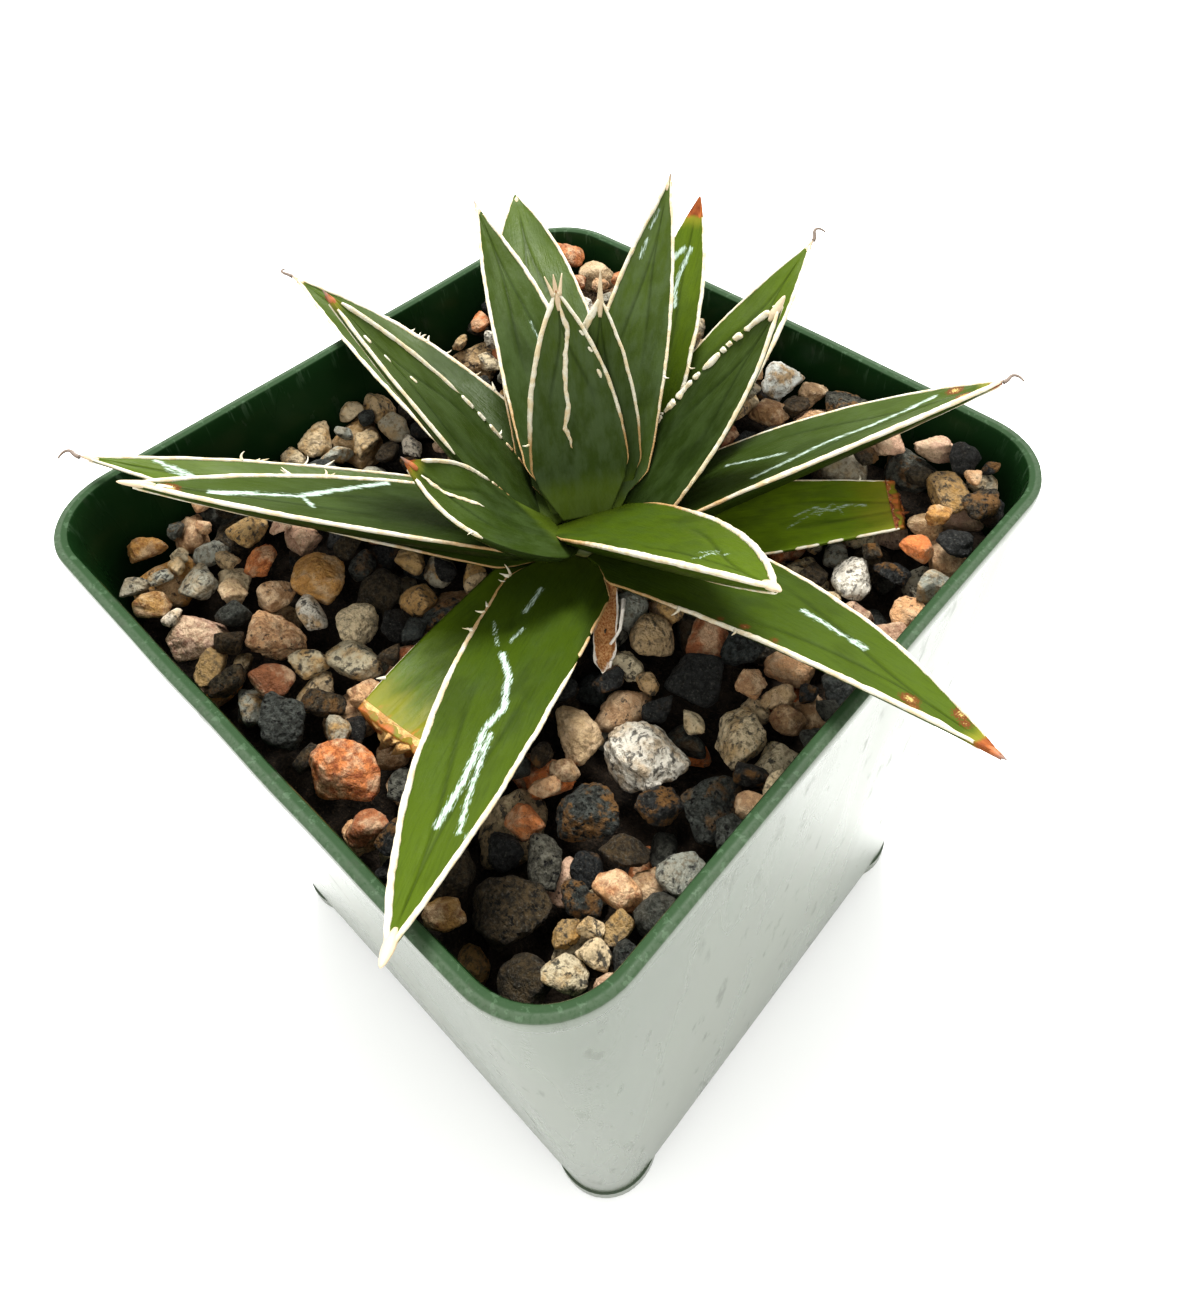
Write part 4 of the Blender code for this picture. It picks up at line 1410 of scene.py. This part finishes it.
# Margins that are whole only in parts: the leaf and the side (1 left, -1 right), and where
# each stretch of horn starts and stops. The last stretch runs on to the leaf's end.
BROKEN_MARGINS = {
    ("leaf_17", 1): [(0.6, 1)],
    ("leaf_17", -1): [(0.06, 0.11), (0.13, 0.19), (0.21, 0.29), (0.31, 1)],
    ("leaf_14", 1): [(0.5, 1)],
    ("leaf_14", -1): [
        (0.07, 0.14), (0.16, 0.23), (0.26, 0.3), (0.32, 0.39), (0.41, 0.45), (0.47, 0.53), (0.54, 1),
    ],
    ("leaf_02_cut", -1): [(0.18, 0.25), (0.28, 0.33), (0.35, 0.4), (0.43, 0.49), (0.51, 0.55), (0.58, 1)],
    ("leaf_12", -1): [(0.05, 0.2), (0.22, 1)],
}

MARGIN_START = 0.03
MARGIN_WIDTH = 0.46
KEEL_WIDTH = 0.3


def margin_runs(leaf, sign, end, seed):
    """The stretches of a margin that have horn: one long one, or dashes where it is broken."""
    looks = LOOKS[leaf.name]
    if (leaf.name, sign) in BROKEN_MARGINS:
        return [(start, min(stop, end)) for start, stop in BROKEN_MARGINS[leaf.name, sign]]
    if sign < 0 or not looks.dashes:
        return [(MARGIN_START, end)]
    runs = []
    draw = random.Random(seed)
    at = MARGIN_START
    while at < looks.dashes * end:
        length = draw.choice((0.025, 0.04, 0.07, 0.1, 0.12))
        runs.append((at, at + length))
        at += length + draw.uniform(0.004, 0.02)
    runs.append((at, end))
    return runs


def make_margins(leaf, shape, surfaces):
    """Horn along both margins and the keel, the spine, and the frayed threads."""
    looks = LOOKS[leaf.name]
    horn = Strips()
    spines = Strips()
    seed = int(leaf.azimuth) + 200
    end = leaf.kept - 0.012 if leaf.kept < 1 else shape.end - 0.35 / leaf.length
    if looks.tip == "scorched":
        end = shape.end - looks.burn / leaf.length
    for sign, thick in ((1, looks.left), (-1, looks.right)):
        for start, stop in margin_runs(leaf, sign, end, seed + sign):
            add_margin(horn, leaf, shape, sign, thick, start, stop, seed)
    if looks.keel < 1:
        add_keel(horn, leaf, shape, looks.keel, end, seed)
    for mark in HORN_MARKS:
        if mark.leaf == leaf.name:
            add_horn_mark(horn, shape, mark)
    if leaf.kept == 1:
        add_spine(spines, leaf, shape, looks, seed)
    add_fraying(horn, leaf, shape, seed)
    slot_name = "cut_leaf" if leaf.kept < 1 else "leaf"
    horn.build(f"{leaf.name}_horn", surfaces["horn"], slot_name)
    spines.build(f"{leaf.name}_spine", surfaces["spine"], slot_name)


def add_margin(horn, leaf, shape, sign, thick, start, stop, seed):
    """One stretch of horn on a margin, thinner towards the stem."""
    rings = max(8, int((stop - start) * 190))
    uneven = 2.6 if sign > 0 and LOOKS[leaf.name].dashes > 0.5 else 1
    rows = []
    for ring in range(rings + 1):
        step = ring / rings
        share = start + (stop - start) * step
        at = share * leaf.length
        place, side, face, _ = shape.frame(share)
        grow = float(smoothstep(0.05, 0.5, share)) * 0.55 + 0.45
        ends = min(1, 9 * step + 0.2, 9 * (1 - step) + 0.45)
        rough = 1 + uneven * (0.2 * wave(at / 2.3, seed + sign) + 0.16 * wave(at / 0.7, seed + sign + 9))
        wide = MARGIN_WIDTH * thick * grow * ends * rough
        edge = max(shape.half(share) - 0.4 * wide, 0)
        sway = 0.1 * wave(at / 3.1, seed + 2 * sign) + 0.05 * wave(at / 0.9, seed + sign + 3)
        middle = place + side * (sign * (edge + sway)) + face * (0.14 + 0.12 * wide)
        age = 1 - float(smoothstep(0.12, 0.62, share))
        rows.append((middle, side, face, wide, min(wide * 0.7, 0.3) + 0.06, (age, 0.5, 0)))
    horn.add(rows)


def add_keel(horn, leaf, shape, start, stop, seed):
    """The horny line along the keel."""
    rings = max(8, int((stop - start) * 120))
    rows = []
    for ring in range(rings + 1):
        step = ring / rings
        share = start + (stop - start) * step
        _, side, face, _ = shape.frame(share)
        rough = 1 + 0.3 * wave(share * leaf.length / 1.9, seed + 31)
        wide = KEEL_WIDTH * min(1, 2.2 * step + 0.12) * rough
        middle = shape.lower(share, 0, -0.04)
        rows.append((middle, side, face, wide, wide * 0.6, (0.75 - 0.5 * step, 0.5, 0)))
    horn.add(rows)


def add_horn_mark(horn, shape, mark):
    """A raised line of horn through a mark's points."""
    gaps = len(mark.points) - 1
    count = max(8, 9 * gaps)
    rows = []
    for index in range(count + 1):
        step = index / count
        at = step * gaps
        low = min(int(at), gaps - 1)
        s0, a0 = mark.points[low]
        s1, a1 = mark.points[low + 1]
        share = s0 + (s1 - s0) * (at - low)
        across = a0 + (a1 - a0) * (at - low) + 0.05 * wave(share * 25, 5)
        _, side, face, _ = shape.frame(share)
        rough = 1 + 0.4 * wave(share * 33, 8)
        wide = mark.width / 2 * min(1, 5 * min(step, 1 - step) + 0.3) * rough
        middle = shape.upper(share, across, 0.03)
        rows.append((middle, side, face, wide, wide * 0.42, (0.2 + 0.7 * (1 - share) ** 2, 0.5, 0)))
    horn.add(rows)


SPINE_TINTS = {"horn": 0.05, "thread": 0.1, "scorched": 1.0, "blob": 0.0, "crown": 0.12, "white": 0.0}
PALE_TIPS = ("blob", "white", "crown")
SPINE_RINGS = 16
SIDE_POINT_RINGS = 7
CURL_RINGS = 16


def add_spine(spines, leaf, shape, looks, seed):
    """The hard point, with a dry curled thread or side points where the leaf has them."""
    pale = looks.tip in PALE_TIPS
    top = 1 + SPINE_LENGTH / leaf.length
    start = shape.end - (2.6 if pale else 1.6) / leaf.length
    rows = []
    for ring in range(SPINE_RINGS + 1):
        step = ring / SPINE_RINGS
        place, side, face, _ = shape.frame(start + (top - start) * step)
        swell = 0.62 if looks.tip == "blob" else 0.5
        round_off = math.sqrt(max(0.0, 1 - step**1.6)) if looks.tip == "blob" else (1 - step) ** 0.85
        width = swell * round_off * min(1, 0.35 + 2.2 * step) + 0.05
        lump = 1 + 0.22 * wave(step * 4, seed)
        middle = place + face * (0.05 + 0.15 * step**2)
        trait = (step * (0.35 if pale else 0.8), SPINE_TINTS[looks.tip], 0)
        rows.append((middle, side, face, width * lump, width * 0.7, trait))
    if looks.spine > 0:
        spines.add(rows)
    if looks.tip == "crown":
        add_side_points(spines, leaf, shape)
    if looks.tip == "thread":
        add_curl(spines, shape.frame(top), random.Random(seed + 5))


def add_side_points(spines, leaf, shape):
    """A short point on each side of the spine."""
    root, side, face, along = shape.frame(shape.end - 0.8 / leaf.length)
    steps = range(SIDE_POINT_RINGS)
    for turn in (-1, 1):
        spread = [side * (turn * 0.35 * (1 + i / 3)) for i in steps]
        points = [root + spread[i] + along * (0.42 * i) + face * 0.1 for i in steps]
        spines.thread(points, [0.3 * (1 - i / 7.5) for i in steps], (0.1, 0, 0))


def add_curl(spines, tip_frame, draw):
    """The dry thread at the tip: it bends one way, then curls back."""
    tip, side, face, along = tip_frame
    curl = [tip - along * 0.3]
    heading = along.copy()
    bend = side * draw.choice((-0.8, 0.8)) + face * draw.uniform(0.3, 0.9)
    for step in range(CURL_RINGS):
        heading = (heading + bend * (0.14 if step < 6 else -0.34)).normalized()
        curl.append(curl[-1] + heading * 0.2)
    count = len(curl)
    spines.thread(curl, [0.2 * (1 - i / count) + 0.1 for i in range(count)], (0.75, 0, 0))


# How many threads have split off a leaf's margins, the share of them on the left one, and
# the stretch of the leaf that they are on.
Fray = namedtuple("Fray", "count left low high")
FRAYS = {
    "leaf_05": Fray(8, 0.0, 0.03, 0.3),
    "leaf_08": Fray(11, 0.0, 0.3, 0.85),
    "leaf_07": Fray(9, 0.9, 0.4, 0.9),
    "leaf_09": Fray(4, 0.1, 0.35, 0.7),
    "leaf_03": Fray(6, 0.1, 0.45, 0.75),
    "leaf_15": Fray(5, 0.8, 0.2, 0.6),
    "leaf_04": Fray(3, 0.0, 0.3, 0.6),
    "leaf_06": Fray(4, 0.0, 0.3, 0.8),
}
FEW = Fray(1, 0.5, 0.2, 0.8)
FRAY_RINGS = 9


def add_fraying(horn, leaf, shape, seed):
    """Hooked slivers that have split off the margins."""
    draw = random.Random(seed + 77)
    fray = FRAYS.get(leaf.name, FEW)
    steps = FRAY_RINGS
    for _ in range(fray.count):
        sign = 1 if draw.random() < fray.left else -1
        share = draw.uniform(fray.low, min(fray.high, leaf.kept - 0.05))
        place, side, face, along = shape.frame(share)
        at = place + side * (sign * (shape.half(share) - 0.1)) + face * 0.2
        outward = side * sign * draw.uniform(0.35, 0.8)
        heading = (outward + along * draw.choice((-1, 1)) + face * draw.uniform(0.1, 0.6)).normalized()
        bend = (side * sign * draw.uniform(0.2, 1) - along * draw.uniform(-1, 1)) * 0.24
        places = [at]
        length = draw.uniform(0.7, 1.9)
        for _ in range(steps):
            heading = (heading + bend).normalized()
            places.append(places[-1] + heading * length / steps)
        thick = draw.uniform(0.14, 0.26)
        radii = [thick * (1 - 0.85 * (i / steps) ** 1.5) for i in range(steps + 1)]
        horn.thread(places, radii, (0.1, 0.5, 0))


def make_scab(leaf, shape, surfaces, age):
    """The shrunken, ragged end of a cut leaf."""
    points = []
    rings = 9
    columns = [(1 - 2 * i / 20, 1) for i in range(21)] + [(-1 + 2 * i / 14, 0) for i in range(1, 14)]
    for ring in range(rings):
        step = ring / (rings - 1)
        for across, upper in columns:
            lump = noise.noise(Vector((across * 4, upper * 3 + step * 2, leaf.azimuth)))
            share = leaf.kept - 0.022 + 0.05 * step * (0.5 + 0.9 * lump)
            inset = 1.02 - 0.55 * step**2
            skin = shape.upper if upper else shape.lower
            place = skin(share, across * inset, 0.12 if upper else 0.1)
            centre, _, face, _ = shape.frame(share)
            points.append(place.lerp(centre - face * 1.6, 0.5 * step**2) * MM)
    around = len(columns)
    faces = tube_faces(rings, around)
    scab = mesh_object(f"{leaf.name}_scab", points, faces, surfaces["scab"])
    add_vectors(scab, "trait", [(age, 0, 0)] * len(points))
    flip_if_inward(scab)
    place_piece(scab, "dried_leaf")


# The withered leaf's course beside the front leaf, the width and thickness of its sheet, and
# the course of the fibre that has come off it
DRIED_COURSE = [
    Vector((9.0, 0.0, 89.2)),
    Vector((11.6, -3.0, 88.6)),
    Vector((13.4, -5.8, 87.9)),
    Vector((15.3, -8.3, 87.2)),
    Vector((17.6, -10.2, 87.4)),
]
DRIED_WIDTH = [1.5, 2.3, 2.9, 2.5, 0.7]
DRIED_THICK = 0.16
FIBRE_COURSE = [
    Vector((11.6, -0.8, 88.6)),
    Vector((13.2, -2.6, 89.6)),
    Vector((14.6, -4.6, 89.3)),
    Vector((14.8, -6.6, 88.4)),
]
FIBRE_RINGS = 25


def make_dried_leaf(surface):
    """The withered leaf on the gravel: a thin, curled and torn sheet."""
    course = DRIED_COURSE
    rings, columns = 60, 19
    points, traits = [], []
    for layer in (DRIED_THICK / 2, -DRIED_THICK / 2):
        for ring in range(rings):
            step = ring / (rings - 1)
            at = step * (len(course) - 1)
            low = min(int(at), len(course) - 2)
            where = course[low].lerp(course[low + 1], at - low)
            along = (course[low + 1] - course[low]).normalized()
            side = along.cross(Vector((0, 0, 1))).normalized()
            up = side.cross(along)
            width = float(np.interp(at, range(len(course)), DRIED_WIDTH))
            for column in range(columns):
                across = -1 + 2 * column / (columns - 1)
                tear = 1 + 0.5 * wave(step * 7 + 2 * (across > 0), 4) * abs(across) ** 3
                angle = across * (1.5 + 0.7 * math.sin(step * 5))
                radius = width / 2 * tear
                crinkle = 0.28 * wave(step * 9, 6 + across * 0.7) + 0.12 * wave(step * 26, across * 2)
                spot = where + side * (radius * math.sin(angle) / 1.1)
                spot += up * (radius * (1 - math.cos(angle)) * 0.75 + crinkle + layer)
                points.append(spot * MM)
                traits.append((max(abs(across) ** 2.5, step**4), 0, 0))
    faces = []
    size = rings * columns
    for ring in range(rings - 1):
        for column in range(columns - 1):
            a = ring * columns + column
            quad = (a, a + 1, a + columns + 1, a + columns)
            faces.append(quad)
            faces.append(tuple(i + size for i in reversed(quad)))
    border = list(range(columns))
    border += [r * columns + columns - 1 for r in range(1, rings)]
    border += [(rings - 1) * columns + c for c in range(columns - 2, -1, -1)]
    border += [r * columns for r in range(rings - 2, 0, -1)]
    for step in range(len(border)):
        a, b = border[step], border[(step + 1) % len(border)]
        faces.append((b, a, a + size, b + size))
    sheet = mesh_object("withered_leaf", points, faces, surface)
    add_vectors(sheet, "trait", traits)
    flip_if_inward(sheet)
    place_piece(sheet, "dried_leaf", "dried_leaf")


def make_fibre(surface):
    """The loose fibre beside the withered leaf."""
    places, radii = [], []
    for index in range(FIBRE_RINGS):
        at = index / (FIBRE_RINGS - 1) * (len(FIBRE_COURSE) - 1)
        low = min(int(at), len(FIBRE_COURSE) - 2)
        blend = float(smoothstep(0, 1, at - low))
        kink = Vector((0, 0, 0.25)) * wave(index / 3, 12)
        places.append(FIBRE_COURSE[low].lerp(FIBRE_COURSE[low + 1], blend) + kink)
        radii.append(0.3 - 0.007 * index + 0.1 * abs(wave(index / 2, 3)))
    fibre = Strips()
    fibre.thread(places, radii, (1, 0, 0))
    fibre.build("withered_fibre", surface, "dried_leaf")


# The stem's radius at each height, from its green top down
STEM_PROFILE = [
    (0.3, 90.8),
    (1.6, 90.6),
    (2.6, 90.2),
    (3.3, 89.6),
    (3.8, 88.6),
    (3.9, 86),
    (3.9, 74),
    (3, 66),
    (1.2, 62.2),
]


def make_stem(surface):
    """The short stem with the ringed scars of fallen leaves."""
    around, rings = 40, 70
    points = []
    radii, levels = zip(*reversed(STEM_PROFILE))
    for height in np.linspace(levels[-1], levels[0], rings):
        radius = float(np.interp(height, levels, radii))
        for step in range(around):
            angle = step / around * 2 * math.pi
            r = radius + 0.12 * math.sin(height * 3.2 + angle)
            spot = Vector((STEM[0] + r * math.cos(angle), STEM[1] + r * math.sin(angle), height))
            points.append(spot * MM)
    faces = tube_faces(rings, around)
    stem = mesh_object("stem_scarred", points, faces, surface)
    flip_if_inward(stem)
    place_piece(stem, "stem", "stem")


# Stage


FLOOR_HALF = 3
WORLD_STRENGTH = 1.12
LIGHT_AIM = Vector((0, 0, 0.08))
# The area lights: name, place and size in metres, and power in watts
LIGHTS = (
    ("key", (-0.3, 0.3, 0.9), (0.35, 0.3), 13.5),
    ("fill", (0.5, -0.6, 0.8), (0.5, 0.5), 2.5),
)


def make_floor():
    corners = ((-1, -1), (1, -1), (1, 1), (-1, 1))
    points = [Vector((x, y, 0)) * FLOOR_HALF for x, y in corners]
    floor = mesh_object("floor", points, [(0, 1, 2, 3)], floor_material(), False)
    bpy.context.scene.collection.objects.link(floor)


def add_area_light(name, place, size, power):
    light = bpy.data.lights.new(name, "AREA")
    light.shape = "RECTANGLE"
    light.size, light.size_y = size
    light.energy = power
    obj = bpy.data.objects.new(name, light)
    obj.location = place
    obj.rotation_euler = (LIGHT_AIM - Vector(place)).to_track_quat("-Z", "Y").to_euler()
    bpy.context.scene.collection.objects.link(obj)


def light_scene():
    """A white studio with a soft key light from behind and a weak fill from the front."""
    world = bpy.data.worlds.new("studio")
    world.use_nodes = True
    background = world.node_tree.nodes["Background"]
    background.inputs["Color"].default_value = (1, 1, 1, 1)
    background.inputs["Strength"].default_value = WORLD_STRENGTH
    bpy.context.scene.world = world
    for light in LIGHTS:
        add_area_light(*light)


def add_camera():
    azimuth, elevation, roll = (math.radians(a) for a in (VIEW_AZIMUTH, VIEW_ELEVATION, VIEW_ROLL))
    right = Vector((math.cos(azimuth), math.sin(azimuth), 0))
    level_back = Vector((math.sin(azimuth), -math.cos(azimuth), 0))
    back = level_back * math.cos(elevation) + Vector((0, 0, math.sin(elevation)))
    up = back.cross(right)
    turned_right = right * math.cos(roll) + up * math.sin(roll)
    turned_up = up * math.cos(roll) - right * math.sin(roll)
    data = bpy.data.cameras.new("view")
    data.lens = VIEW_LENS
    data.shift_x, data.shift_y = VIEW_SHIFT
    data.clip_start = 0.01
    camera = bpy.data.objects.new("view", data)
    basis = Matrix((turned_right, turned_up, back)).transposed()
    camera.matrix_world = Matrix.Translation(VIEW_PLACE) @ basis.to_4x4()
    bpy.context.scene.collection.objects.link(camera)
    bpy.context.scene.camera = camera


def main():
    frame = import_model()
    rocks = {"basalt": basalt_material(), "granite": granite_material(), "quartz": quartz_material()}
    plant = {
        "leaf": leaf_material(),
        "horn": horn_material(),
        "spine": spine_material(),
        "scab": cut_material(),
    }
    make_stones(frame, rocks)
    make_bed(soil_material("grit", (0.012, 0.009, 0.006), (0.05, 0.036, 0.024)))
    mix = bpy.data.objects["potting_mix"]
    mix.data.materials.clear()
    mix.data.materials.append(soil_material("potting_mix", (0.015, 0.009, 0.005), (0.07, 0.042, 0.02)))
    make_pot(pot_material())
    for leaf in LEAVES:
        shape = make_leaf(leaf, plant)
        make_margins(leaf, shape, plant)
        if leaf.kept < 1:
            make_scab(leaf, shape, plant, 0.0 if leaf.name == "leaf_01_cut" else 1.0)
    papery = dried_material()
    make_dried_leaf(papery)
    make_fibre(papery)
    make_stem(stem_material())
    make_floor()
    light_scene()
    add_camera()
    bpy.context.scene.view_settings.view_transform = "Standard"
    bpy.context.scene.view_settings.look = "Medium High Contrast"


main()
